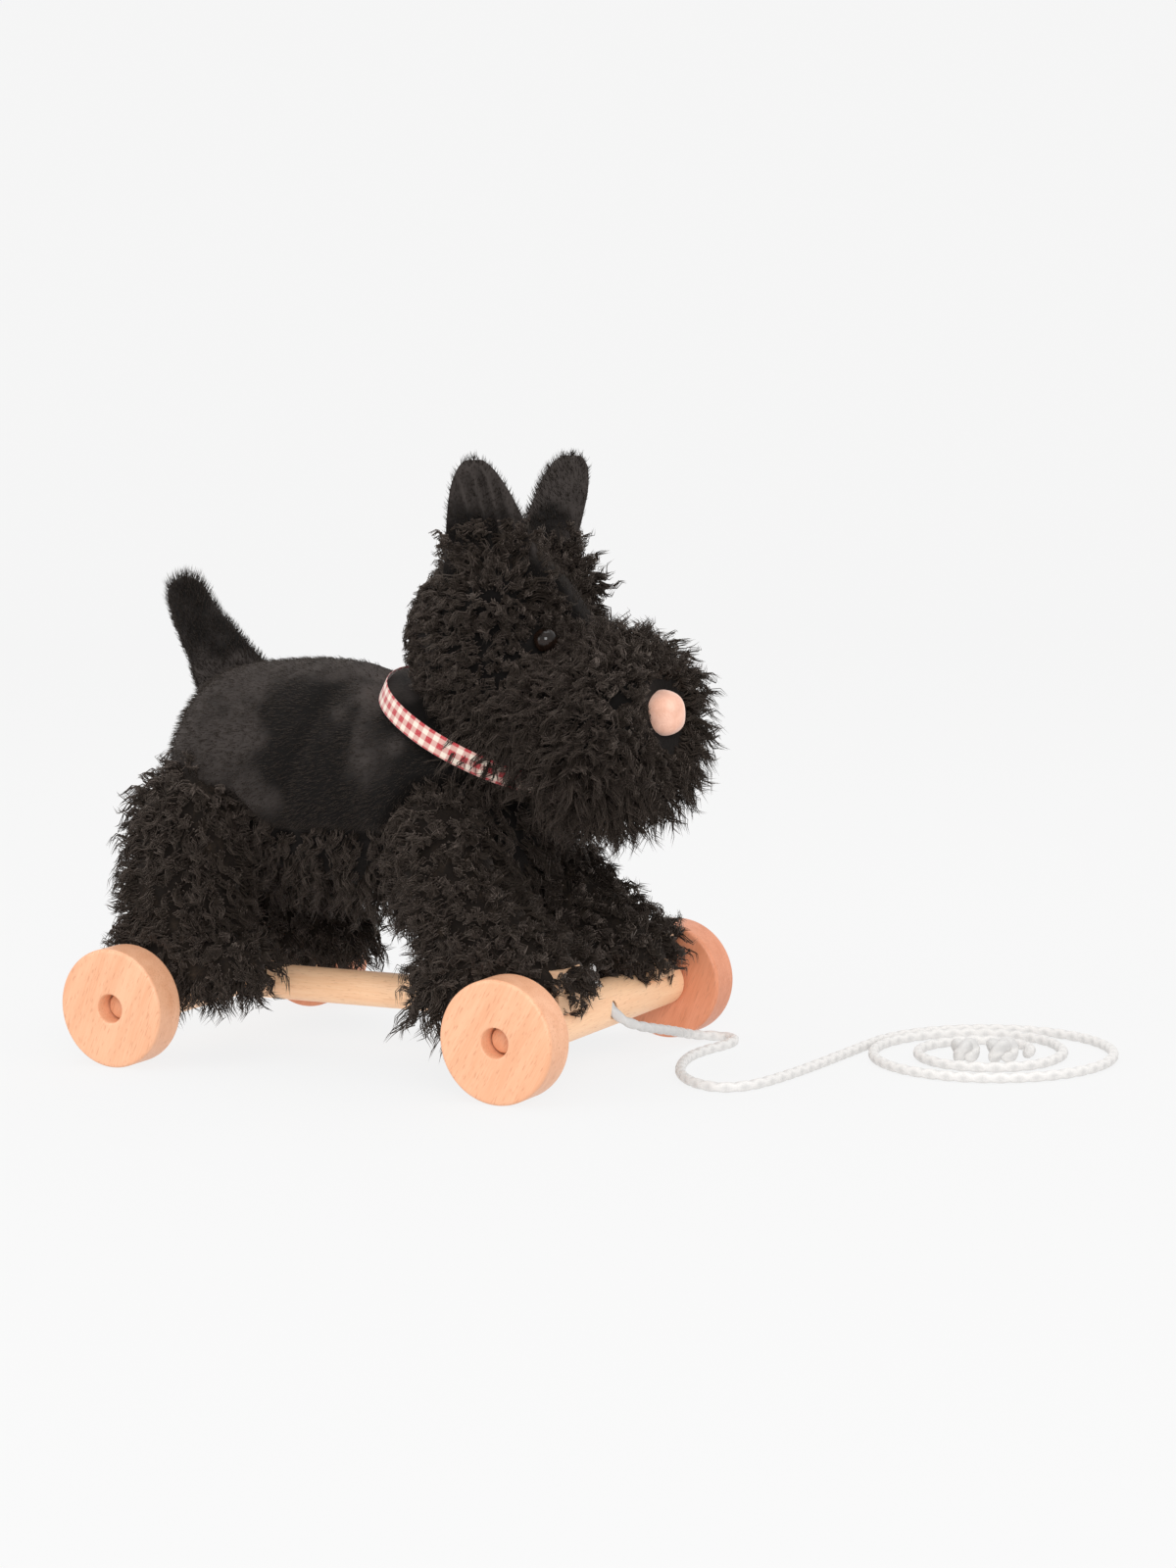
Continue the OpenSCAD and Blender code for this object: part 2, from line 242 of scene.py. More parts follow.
def put_mesh(
    name: str, points: Array, faces: list[Array], body: str = "toy", slots: Array | None = None
) -> bpy.types.Object:
    """Makes a smooth mesh object from points in millimetres, with its faces turned outwards.

    Args:
        name: Object name.
        points: n by 3 array.
        faces: Arrays of quads (m by 4) or triangles (m by 3).
        body: The CAD body the piece rides on.
        slots: Material index of each face, in the order of faces.

    Returns:
        The object, riding on its body.
    """
    tris = np.vstack([f[:, [0, 1, 2]] for f in faces] + [f[:, [0, 2, 3]] for f in faces if f.shape[1] == 4])
    corner = points[tris]
    if np.einsum("ij,ij->i", corner[:, 0], np.cross(corner[:, 1], corner[:, 2])).sum() < 0:
        faces = [f[:, ::-1] for f in faces]
    mesh = bpy.data.meshes.new(name)
    loops = np.concatenate([f.ravel() for f in faces]).astype(np.int32)
    sizes = np.concatenate([np.full(len(f), f.shape[1]) for f in faces])
    mesh.vertices.add(len(points))
    mesh.vertices.foreach_set("co", (points * MM).astype(np.float32).ravel())
    mesh.loops.add(len(loops))
    mesh.loops.foreach_set("vertex_index", loops)
    mesh.polygons.add(len(sizes))
    mesh.polygons.foreach_set("loop_start", (np.cumsum(sizes) - sizes).astype(np.int32))
    mesh.update(calc_edges=True)
    mesh.polygons.foreach_set("use_smooth", np.ones(len(sizes), dtype=bool))
    obj = link(name, mesh)
    if slots is not None:
        mesh.polygons.foreach_set("material_index", slots.astype(np.int32))
    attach(obj, body)
    return obj


def note_values(obj: bpy.types.Object, name: str, values: Array) -> None:
    """Stores one value per point of a piece, for its material to read."""
    obj.data.attributes.new(name, "FLOAT", "POINT").data.foreach_set("value", values.astype(np.float32))


def report(obj: bpy.types.Object) -> bpy.types.Object:
    """Logs a finished piece and its size, and gives it back."""
    LOG.info("%s: %d faces", obj.name, len(obj.data.polygons))
    return obj


def dress(obj: bpy.types.Object, slot: str, *materials: bpy.types.Material) -> bpy.types.Object:
    """Gives a piece its materials.

    Args:
        obj: The piece.
        slot: Not used.
        materials: Its materials, in order.

    Returns:
        The piece.
    """
    obj.data.materials.clear()
    for m in materials:
        obj.data.materials.append(m)
    return obj


def ring_faces(rows: int, cols: int, wrap_rows: bool = False) -> Array:
    """Quads between rings of cols points each, closed round each ring.

    Args:
        rows: How many rings.
        cols: Points round each ring.
        wrap_rows: True where the last ring joins the first.

    Returns:
        Quads, n by 4.
    """
    r = np.arange(rows if wrap_rows else rows - 1)[:, None]
    c = np.arange(cols)[None, :]
    here, there = r * cols, ((r + 1) % rows) * cols
    nxt = (c + 1) % cols
    return np.stack([here + c, here + nxt, there + nxt, there + c], axis=-1).reshape(-1, 4)


def capped(grid: Array) -> Surface:
    """A closed skin from rings whose first and last rings have shrunk to points.

    Args:
        grid: rows by cols by 3 array of points; its first and last rows are poles.

    Returns:
        Points, and the quads and triangles.
    """
    rows, cols = grid.shape[:2]
    inner = grid[1:-1].reshape(-1, 3)
    points = np.vstack([inner, grid[0].mean(axis=0), grid[-1].mean(axis=0)])
    first, last = len(inner), len(inner) + 1
    c = np.arange(cols)
    nxt = (c + 1) % cols
    base = (rows - 3) * cols
    caps = np.vstack([
        np.stack([np.full(cols, first), nxt, c], axis=1),
        np.stack([np.full(cols, last), base + c, base + nxt], axis=1),
    ])
    return points, [ring_faces(rows - 2, cols), caps]


def turned(profile: Outline, x: float, closed: bool, sides: int = 128) -> Surface:
    """Turns a profile of (radius, y) points about the line along Y at x and axle height.

    Each ring is x plus radius times cos a, y, and axle height plus radius times sin a.

    Args:
        profile: The outline. It loops if closed, or starts and ends on the axis.
        x: Where the axis stands.
        closed: True for a wheel with a bore.
        sides: Points round each ring.

    Returns:
        Points and faces.
    """
    r, y = np.array(profile).T
    a = circle(sides)
    grid = np.stack([
        x + r[:, None] * np.cos(a),
        np.repeat(y[:, None], sides, axis=1),
        AXLE_Z + r[:, None] * np.sin(a),
    ], axis=-1)
    if not closed:
        return capped(grid)
    return grid.reshape(-1, 3), [ring_faces(len(r), sides, wrap_rows=True)]


def tube(path: Array, radius: Array, sides: int) -> Surface:
    """Carries a ring along a path, closed at both ends.

    Args:
        path: n by 3 points, never straight up.
        radius: n by sides array of ring radii.
        sides: Points round each ring.

    Returns:
        Points and faces.
    """
    heading = unit(np.gradient(path, axis=0))
    s = unit(np.cross([0.0, 0.0, 1.0], heading))
    u = np.cross(heading, s)
    a = circle(sides)[None, :, None]
    grid = path[:, None] + radius[..., None] * (np.cos(a) * s[:, None] + np.sin(a) * u[:, None])
    ends = [np.repeat(p[None, None], sides, axis=1) for p in (path[0], path[-1])]
    return capped(np.vstack([ends[0], grid, ends[1]]))


# ---- Shader nodes ----


class Sock:
    """Wraps a node socket, so that shader maths reads as plain expressions on values."""

    def __init__(self, tree: bpy.types.NodeTree, socket: bpy.types.NodeSocket) -> None:
        """Keeps the tree and the socket."""
        self.tree = tree
        self.socket = socket

    def maths(self, operation: str, *values: "Sock | float") -> "Sock":
        """Adds a Math node of that operation on these values.

        Args:
            operation: The node's operation.
            values: Its inputs, as values or numbers.

        Returns:
            The result.
        """
        node = self.tree.nodes.new("ShaderNodeMath")
        node.operation = operation
        for i, v in enumerate(values):
            if isinstance(v, Sock):
                self.tree.links.new(v.socket, node.inputs[i])
            else:
                node.inputs[i].default_value = v
        return Sock(self.tree, node.outputs[0])

    def __add__(self, other: "Sock | float") -> "Sock":
        """Sum."""
        return self.maths("ADD", self, other)

    __radd__ = __add__

    def __mul__(self, other: "Sock | float") -> "Sock":
        """Product."""
        return self.maths("MULTIPLY", self, other)

    __rmul__ = __mul__

    def __sub__(self, other: "Sock | float") -> "Sock":
        """Difference."""
        return self.maths("SUBTRACT", self, other)

    def __rsub__(self, other: "Sock | float") -> "Sock":
        """Reflected difference, such as 1 - mask."""
        return self.maths("SUBTRACT", other, self)

    def step(self, low: float, high: float) -> "Sock":
        """A smooth rise from 0 at low to 1 at high.

        Args:
            low: Where the rise starts.
            high: Where it ends.

        Returns:
            The risen value.
        """
        node = self.tree.nodes.new("ShaderNodeMapRange")
        node.interpolation_type = "SMOOTHSTEP"
        node.inputs["From Min"].default_value = low
        node.inputs["From Max"].default_value = high
        self.tree.links.new(self.socket, node.inputs["Value"])
        return Sock(self.tree, node.outputs["Result"])


class Finish:
    """A material in the making: one Principled shader and the nodes that feed it."""

    def __init__(self, name: str, **sockets: float | Colour) -> None:
        """Makes the material and sets the shader's constant sockets.

        Args:
            name: Material name.
            sockets: Values by socket name, with spaces written as underscores.
        """
        self.material = bpy.data.materials.new(name)
        self.material.use_nodes = True
        self.tree = self.material.node_tree
        self.shader = self.tree.nodes["Principled BSDF"]
        for key, value in sockets.items():
            socket = self.shader.inputs[key.replace("_", " ")]
            socket.default_value = (*value, 1.0) if isinstance(value, tuple) else value

    def node(
        self, kind: str, settings: dict[str, str] | None = None, **values: "Sock | float | Colour"
    ) -> bpy.types.Node:
        """Adds a node, with its settings first and then its input values or links.

        Args:
            kind: Node type.
            settings: Properties of the node.
            values: Inputs by socket name, with spaces written as underscores.

        Returns:
            The node.
        """
        made = self.tree.nodes.new(kind)
        for key, value in (settings or {}).items():
            setattr(made, key, value)
        for key, value in values.items():
            socket = made.inputs[key.replace("_", " ")]
            if isinstance(value, Sock):
                self.tree.links.new(value.socket, socket)
            else:
                socket.default_value = value
        return made

    def out(self, made: bpy.types.Node, name: str) -> Sock:
        """A node's output as a Sock."""
        return Sock(self.tree, made.outputs[name])

    def own_place(self) -> Sock:
        """The piece's own coordinates, in metres."""
        return self.out(self.node("ShaderNodeTexCoord"), "Object")

    def place(self, turn: Point = (0, 0, 0), scale: Point = (1, 1, 1), shift: Point = (0, 0, 0)) -> Sock:
        """The piece's coordinates, turned by degrees, shifted, and then scaled.

        Args:
            turn: Degrees about X, Y and Z.
            scale: Factor along each axis.
            shift: Metres along each axis.

        Returns:
            The coordinates.
        """
        angles = tuple(math.radians(a) for a in turn)
        laid = self.node("ShaderNodeMapping", Vector=self.own_place(), Rotation=angles, Location=shift)
        node = self.node("ShaderNodeVectorMath", {"operation": "MULTIPLY"})
        self.tree.links.new(laid.outputs[0], node.inputs[0])
        node.inputs[1].default_value = scale
        return self.out(node, "Vector")

    def noise(self, at: Sock, scale: float = 1.0, detail: float = 3.0, roughness: float = 0.5) -> Sock:
        """Noise from 0 to 1 at these coordinates."""
        made = self.node("ShaderNodeTexNoise", Vector=at, Scale=scale, Detail=detail, Roughness=roughness)
        return self.out(made, "Fac")

    def grain(self, per_metre: float, detail: float = 2.0) -> Sock:
        """Even noise with about this many grains to the metre."""
        return self.noise(self.place(scale=(per_metre,) * 3), detail=detail)

    def noted(self, name: str) -> Sock:
        """The values stored on the piece under this name."""
        return self.out(self.node("ShaderNodeAttribute", {"attribute_name": name}), "Fac")

    def mix(self, share: "Sock | float", a: "Sock | Colour", b: "Sock | Colour") -> Sock:
        """A colour between a and b.

        Args:
            share: How much of b.
            a: Colour at 0.
            b: Colour at 1.

        Returns:
            The colour.
        """
        node = self.tree.nodes.new("ShaderNodeMix")
        node.data_type = "RGBA"
        for index, value in ((0, share), (6, a), (7, b)):
            if isinstance(value, Sock):
                self.tree.links.new(value.socket, node.inputs[index])
            else:
                node.inputs[index].default_value = (*value, 1.0) if isinstance(value, tuple) else value
        return Sock(self.tree, node.outputs[2])

    def feed(self, **sockets: Sock) -> "Finish":
        """Links values to the shader's sockets.

        Args:
            sockets: Values by socket name, with spaces written as underscores.

        Returns:
            This finish.
        """
        for key, value in sockets.items():
            self.tree.links.new(value.socket, self.shader.inputs[key.replace("_", " ")])
        return self

    def bump(self, height: Sock, strength: float, distance: float) -> "Finish":
        """Feeds Normal from a Bump node on this height, distance in millimetres."""
        made = self.node("ShaderNodeBump", Height=height, Strength=strength, Distance=distance * MM)
        return self.feed(Normal=self.out(made, "Normal"))


@dataclass(frozen=True)
class Beech:
    """Beech with short dark flecks along the grain, under a thin satin oil."""

    light: Colour = (0.81, 0.44, 0.265)
    dark: Colour = (0.72, 0.35, 0.195)
    fleck: Colour = (0.46, 0.18, 0.09)
    flecked: float = 0.42
    roughness: float = 0.42

    def make(self, name: str, turn: Point = (0, 0, 0), shift: Point = (0, 0, 0)) -> bpy.types.Material:
        """Builds the material, with the grain along X after the turn.

        Args:
            name: Material name.
            turn: Degrees that lay the grain's direction onto X.
            shift: Moves the pattern, so that no two pieces match.

        Returns:
            The material.
        """
        f = Finish(name, Roughness=self.roughness, Coat_Weight=0.12, Coat_Roughness=0.35,
                   Specular_IOR_Level=0.4)
        band = f.noise(f.place(turn, (18, 170, 170), shift), detail=3)
        fine = f.noise(f.place(turn, (90, 1500, 1500), shift), detail=2)
        dash = f.noise(f.place(turn, (260, 1900, 1900), shift), detail=1, roughness=0.3).step(0.60, 0.72)
        tone = (band * 0.7 + fine * 0.5 - 0.1).step(0.3, 0.75)
        colour = f.mix(dash * self.flecked, f.mix(tone, self.light, self.dark), self.fleck)
        f.feed(Base_Color=colour, Roughness=fine * 0.2 + self.roughness - 0.08 + dash * 0.1)
        return f.bump(fine * 0.4 - dash * 0.8, 0.35, 0.12).material


@dataclass(frozen=True)
class Plush:
    """Pile fabric: a soft dark cloth whose fibres catch light at the edges."""

    shade: Colour = (0.0078, 0.0053, 0.0038)
    light: Colour = (0.092, 0.0640, 0.0440)
    sheen: float = 0.24

    def cloth(self, name: str) -> bpy.types.Material:
        """The woven side and short nap, lighter where the stored attribute is high: painted sheen on the
        short pile, a random tone on the curly cores.

        Args:
            name: Material name.

        Returns:
            The material.
        """
        f = Finish(name, Roughness=0.85, Sheen_Weight=self.sheen, Sheen_Roughness=0.45,
                   Sheen_Tint=(0.62, 0.52, 0.47), Specular_IOR_Level=0.12)
        patch = f.noise(f.place(scale=(38, 38, 38)), detail=3, roughness=0.6)
        nap = f.noise(f.place(turn=(0, 20, 0), scale=(420, 1100, 1100)), detail=2)
        brushed = f.noted("brushed")
        tone = (brushed + patch * 0.7 + nap * 0.4 - 0.5).step(0.1, 1.0)
        f.feed(Base_Color=f.mix(tone, self.shade, self.light), Roughness=nap * 0.2 + 0.72)
        return f.bump(nap + patch * 0.6, 0.6, 0.5).material

    def fibres(self, name: str, tone: float) -> bpy.types.Material:
        """One shade of the loose fibres, from shade at 0 to light at 1.

        Args:
            name: Material name.
            tone: Where the shade lies; it may pass 1.

        Returns:
            The material.
        """
        colour = tuple(a + (b - a) * tone for a, b in zip(self.shade, self.light))
        f = Finish(name, Base_Color=colour, Sheen_Weight=self.sheen, Sheen_Roughness=0.4,
                   Sheen_Tint=(0.70, 0.56, 0.48), Specular_IOR_Level=0.40 + 0.32 * tone,
                   Specular_Tint=(1.0, 0.81, 0.68))
        return f.feed(Roughness=f.grain(900, 1) * 0.25 + 0.45).material


# ---- Soft shapes ----


@dataclass(frozen=True)
class Form:
    """A soft shape made of ellipsoids that flow into each other along a line, and lone lumps beside it."""

    balls: tuple[tuple[Point, Point], ...]
    centre: Point
    blend: float = 2.5
    steps: int = 5
    lumps: tuple[tuple[Point, Point], ...] = ()

    def filled(self) -> tuple[Array, Array]:
        """Centres and radii, with steps more ellipsoids spaced between each pair, and the lumps last.

        Returns:
            Centres and radii, n by 3 each.
        """
        k = np.arange(len(self.balls))
        t = np.linspace(0, k[-1], k[-1] * self.steps + 1)
        found = []
        for part in (0, 1):
            line = np.array([b[part] for b in self.balls], dtype=float)
            spaced = np.stack([np.interp(t, k, line[:, i]) for i in range(3)], axis=1)
            found.append(np.vstack([spaced, *(np.array(b[part], dtype=float) for b in self.lumps)]))
        return found[0], found[1]

    def depth(self, p: Array) -> Array:
        """Millimetres outside the shape, or below zero inside.

        For each ellipsoid it is q times (q - 1) over the length of (p - c) / r squared, where q is
        the length of (p - c) / r, and a soft minimum joins them.

        Args:
            p: Points, with x, y and z on the last axis.

        Returns:
            Millimetres shaped as the points.
        """
        c, r = self.filled()
        d = (p[..., None, :] - c) / r
        q = np.linalg.norm(d, axis=-1)
        near = q * (q - 1.0) / np.maximum(np.linalg.norm(d / r, axis=-1), 1e-6)
        low = near.min(axis=-1, keepdims=True)
        return low[..., 0] - self.blend * np.log(np.exp(-(near - low) / self.blend).sum(axis=-1)) * 0.5

    def on(self, side: Side) -> "Form":
        """The same shape on that side of the dog; it is written for the left."""
        balls = tuple((side.place(c), r) for c, r in self.balls)
        return Form(balls, side.place(self.centre), self.blend, self.steps)


TORSO = Form((((-76, 0, 119), (42, 42, 45)), ((-41, 0, 103), (52, 41, 40)), ((-10, 0, 104), (48, 40, 42)),
              ((26, 0, 97), (38, 38, 40)), ((0, 0, 118), (46, 45, 46)), ((-40, 0, 121), (46, 44, 44)),
              ((-76, 0, 119), (42, 42, 45))), (-25, 0, 112))
HEAD = Form((((41, 0, 176), (39.5, 42, 40)), ((60, 0, 151), (36, 43, 36)), ((87, 0, 140), (45, 45, 41)),
             ((99, 0, 149), (32, 41, 34))), (62, 0, 158),
            lumps=(((50, 27, 192), (20, 15, 20)), ((50, -27, 192), (20, 15, 20))))
TAIL = Form((((-89, 0, 150), (22, 9, 16)), ((-102, 0, 168), (14.5, 8, 14)),
             ((-111, 0, 182), (11.5, 7.5, 11)), ((-117, 0, 193), (9.5, 7, 8))), (-104, 0, 170), blend=1.5)
FRONT_LEG = Form((((26, 28, 96), (27, 26, 28)), ((38, 37, 71), (26, 26, 26)), ((70, 38, 45), (29, 29, 21)),
                  ((42, 41, 40), (22, 22, 20))), (47, 38, 62))
REAR_LEG = Form((((-92, 34, 99), (32, 28, 31)), ((-94, 40, 66), (33, 25, 27)), ((-95, 42, 42), (29, 23, 20)),
                 ((-77, 42, 40), (26, 22, 19))), (-91, 39, 62))


class Skin:
    """A closed skin: rings of points about a centre, with a pole at each end."""

    def __init__(self, grid: Array, centre: Array) -> None:
        """Keeps the rows by cols by 3 grid of points, and the centre."""
        self.grid = grid
        self.centre = centre

    @classmethod
    def over(
        cls, form: Form, inset: "OfPoints | float", rows: int = 72, cols: int = 96, floor: float = 0.0
    ) -> "Skin":
        """Finds a shape's skin by halving the way out from its centre until the depth passes zero.

        Args:
            form: The shape.
            inset: Millimetres that the skin lies under the shape: a number, or a function of points.
            rows: Rings from bottom to top.
            cols: Points round each ring.
            floor: Lowest height that the skin may reach.

        Returns:
            The skin.
        """
        centre = np.array(form.centre, dtype=float)
        tilt = np.linspace(0, math.pi, rows)[:, None]
        turn = circle(cols)[None, :]
        out = np.sin(tilt)
        way = np.stack([out * np.cos(turn), out * np.sin(turn), np.cos(tilt) + 0 * turn], axis=-1)
        inner, outer = np.zeros(way.shape[:2]), np.full(way.shape[:2], 160.0)
        for _ in range(18):
            mid = (inner + outer) / 2
            p = centre + way * mid[..., None]
            under = inset(p) if callable(inset) else inset
            full = np.maximum(form.depth(p) + under, floor - p[..., 2])
            inner = np.where(full < 0, mid, inner)
            outer = np.where(full < 0, outer, mid)
        return cls(centre + way * inner[..., None], centre)

    def lumped(self, size: float, scale: float, seed: int) -> "Skin":
        """Moves the skin in and out by soft waves, as filling does.

        Args:
            size: Millimetres in and out.
            scale: Length of the waves.
            seed: Picks them.

        Returns:
            This skin.
        """
        out = self.grid - self.centre
        far = np.maximum(np.linalg.norm(out, axis=-1), 8.0)
        self.grid = self.centre + out * (1 + size * waves(self.grid, scale, seed) / far)[..., None]
        return self

    def mesh(self) -> Surface:
        """Points and faces of the closed skin."""
        return capped(self.grid)

    def roots(self, count: int, rng: np.random.Generator) -> tuple[Array, Array]:
        """Places spread evenly by area, with the outward direction at each.

        Args:
            count: How many places.
            rng: Source of the random numbers.

        Returns:
            Points and unit directions, count by 3 each.
        """
        g = np.concatenate([self.grid, self.grid[:, :1]], axis=1)
        a, b, c, d = g[:-1, :-1], g[:-1, 1:], g[1:, 1:], g[1:, :-1]
        normal = np.cross(c - a, d - b)
        area = np.linalg.norm(normal, axis=-1).ravel()
        pick = rng.choice(area.size, size=count, p=area / area.sum())
        s, t = rng.random((2, count, 1))
        corners = [q.reshape(-1, 3)[pick] for q in (a, b, c, d)]
        at = (1 - s) * ((1 - t) * corners[0] + t * corners[1]) + s * ((1 - t) * corners[3] + t * corners[2])
        out = unit(normal.reshape(-1, 3)[pick])
        out *= np.sign(np.einsum("ij,ij->i", out, at - self.centre))[:, None]
        return at, out


# ---- Pile ----


def spread(at: Array, need: int) -> Array:
    """Picks places that are well apart: the first in each cell of the coarsest grid that holds enough.

    Args:
        at: Places to pick from.
        need: How many to pick.

    Returns:
        Their indices.
    """
    picked = np.arange(min(need, len(at)))
    for size in np.arange(2.0, 8.0, 0.1):
        cells = np.floor(at / size).astype(np.int64) @ np.array([1, 1000, 1000000])
        first = np.unique(cells, return_index=True)[1]
        if len(first) < need:
            break
        picked = np.sort(first)[:need]
    return picked


@dataclass(frozen=True)
class Locks:
    """Long curly pile: fibres gathered in locks that twist, taper and droop."""

    length: float = 14.0
    spread: float = 0.25
    curl: float = 2.6
    turns: float = 1.5
    lean: float = 0.5
    droop: float = 0.2
    per_lock: int = 8
    lock_radius: float = 2.6
    gather: float = 0.7
    thick: float = 0.4
    rings: int = 7

    def paths(
        self, at: Array, out: Array, comb: Array, scale: Array, rng: np.random.Generator
    ) -> tuple[Array, Array]:
        """Centre lines of every fibre.

        A lock's line is its root plus the leaning direction times its length times s, plus a droop
        that grows with s squared, plus a circle that widens with s and turns as s grows. A fibre
        starts beside the lock's root and closes in on its line towards the tip.

        Args:
            at: Lock roots.
            out: Outward directions there.
            comb: Direction each lock is brushed in, of any length.
            scale: Length of each lock, as a share of the usual length.
            rng: Source of the random numbers.

        Returns:
            Points, fibres by rings by 3, and the share of the length at each ring.
        """
        n = len(at)
        s = np.linspace(0, 1, self.rings)
        e1, e2 = across(out)
        stray = rng.normal(size=(n, 1)) * e1 + rng.normal(size=(n, 1)) * e2
        way = unit(out + self.lean * comb + self.spread * stray)
        length = self.length * scale * rng.uniform(0.68, 1.32, n)
        f1, f2 = across(way)
        phase = rng.uniform(0, 2 * math.pi, (n, 1))
        spin = rng.choice([-1.0, 1.0], (n, 1)) * self.turns * 2 * math.pi * rng.uniform(0.7, 1.3, (n, 1))
        grow = self.curl * rng.uniform(0.6, 1.3, (n, 1)) * s**0.8
        angle = (phase + spin * s)[..., None]
        ring = grow[..., None] * (np.cos(angle) * f1[:, None] + np.sin(angle) * f2[:, None])
        line = at[:, None] + way[:, None] * (length[:, None] * s)[..., None] + ring
        line[..., 2] -= self.droop * length[:, None] * s**2
        m = self.per_lock
        angle = rng.uniform(0, 2 * math.pi, (n, m))
        far = self.lock_radius * np.sqrt(rng.random((n, m)))
        start = (far * np.cos(angle))[..., None] * e1[:, None]
        start = start + (far * np.sin(angle))[..., None] * e2[:, None]
        close = 1 - self.gather * s**0.7
        own = rng.normal(size=(n, m, self.rings, 3)) * 0.35 * s[None, None, :, None]
        reach = rng.uniform(0.72, 1.08, (n, m))
        fibre = at[:, None, None] + (line - at[:, None])[:, None] * reach[..., None, None]
        fibre = fibre + start[:, :, None] * close[None, None, :, None] + own
        fibre[:, :, 0] -= out[:, None] * 1.2
        return fibre.reshape(n * m, self.rings, 3), s


@dataclass(frozen=True)
class Nap:
    """Short pile: single straight fibres that lean the way the cloth was brushed."""

    length: float = 2.7
    lean: float = 1.4
    spread: float = 0.35
    thick: float = 0.14
    per_lock: int = 1

    def paths(
        self, at: Array, out: Array, comb: Array, scale: Array, rng: np.random.Generator
    ) -> tuple[Array, Array]:
        """Centre lines: straight along the leaning direction, bent over a little at the tip.

        Args:
            at: Roots.
            out: Outward directions there.
            comb: Direction each root's pile is brushed in.
            scale: Length at each root, as a share of the usual length.
            rng: Source of the random numbers.

        Returns:
            Points, fibres by rings by 3, and the share of the length at each ring.
        """
        s = np.array([0.0, 0.55, 1.0])
        way = unit(out + self.lean * comb + self.spread * rng.normal(size=out.shape))
        length = self.length * scale * rng.uniform(0.6, 1.25, len(at))
        line = at[:, None] + way[:, None] * (length[:, None] * s)[..., None]
        line += comb[:, None] * (length[:, None] * 0.25 * s**2)[..., None]
        line[:, 0] -= out * 0.4
        return line, s


def fibre_mesh(lines: Array, shares: Array, thick: float) -> Surface:
    """Three-sided tapered fibres, each closed: rings of three points and one tip.

    The radius is thick times (1 - 0.75 s), and the last ring is a single point.

    Args:
        lines: Fibres by rings by 3.
        shares: Share of the length at each ring.
        thick: Radius at the root.

    Returns:
        Points and faces.
    """
    n, k = lines.shape[:2]
    heading = unit(np.gradient(lines, axis=1))
    e1, e2 = across(heading)
    radius = thick * (1 - 0.75 * shares[:-1])
    a = (np.arange(3) * 2 * math.pi / 3)[None, None, :, None]
    rings = lines[:, :-1, None] + radius[None, :, None, None] * (
        np.cos(a) * e1[:, :-1, None] + np.sin(a) * e2[:, :-1, None]
    )
    body = rings.reshape(n, (k - 1) * 3, 3)
    points = np.concatenate([body, lines[:, -1:]], axis=1).reshape(-1, 3)
    size = (k - 1) * 3 + 1
    base = (np.arange(n) * size)[:, None, None]
    quads = (base + ring_faces(k - 1, 3)[None]).reshape(-1, 4)
    last = (k - 2) * 3
    tip = size - 1
    caps = np.array([[0, 2, 1], [last, last + 1, tip], [last + 1, last + 2, tip], [last + 2, last, tip]])
    return points, [quads, (base + caps[None]).reshape(-1, 3)]


# ---- Camera, light and floor ----


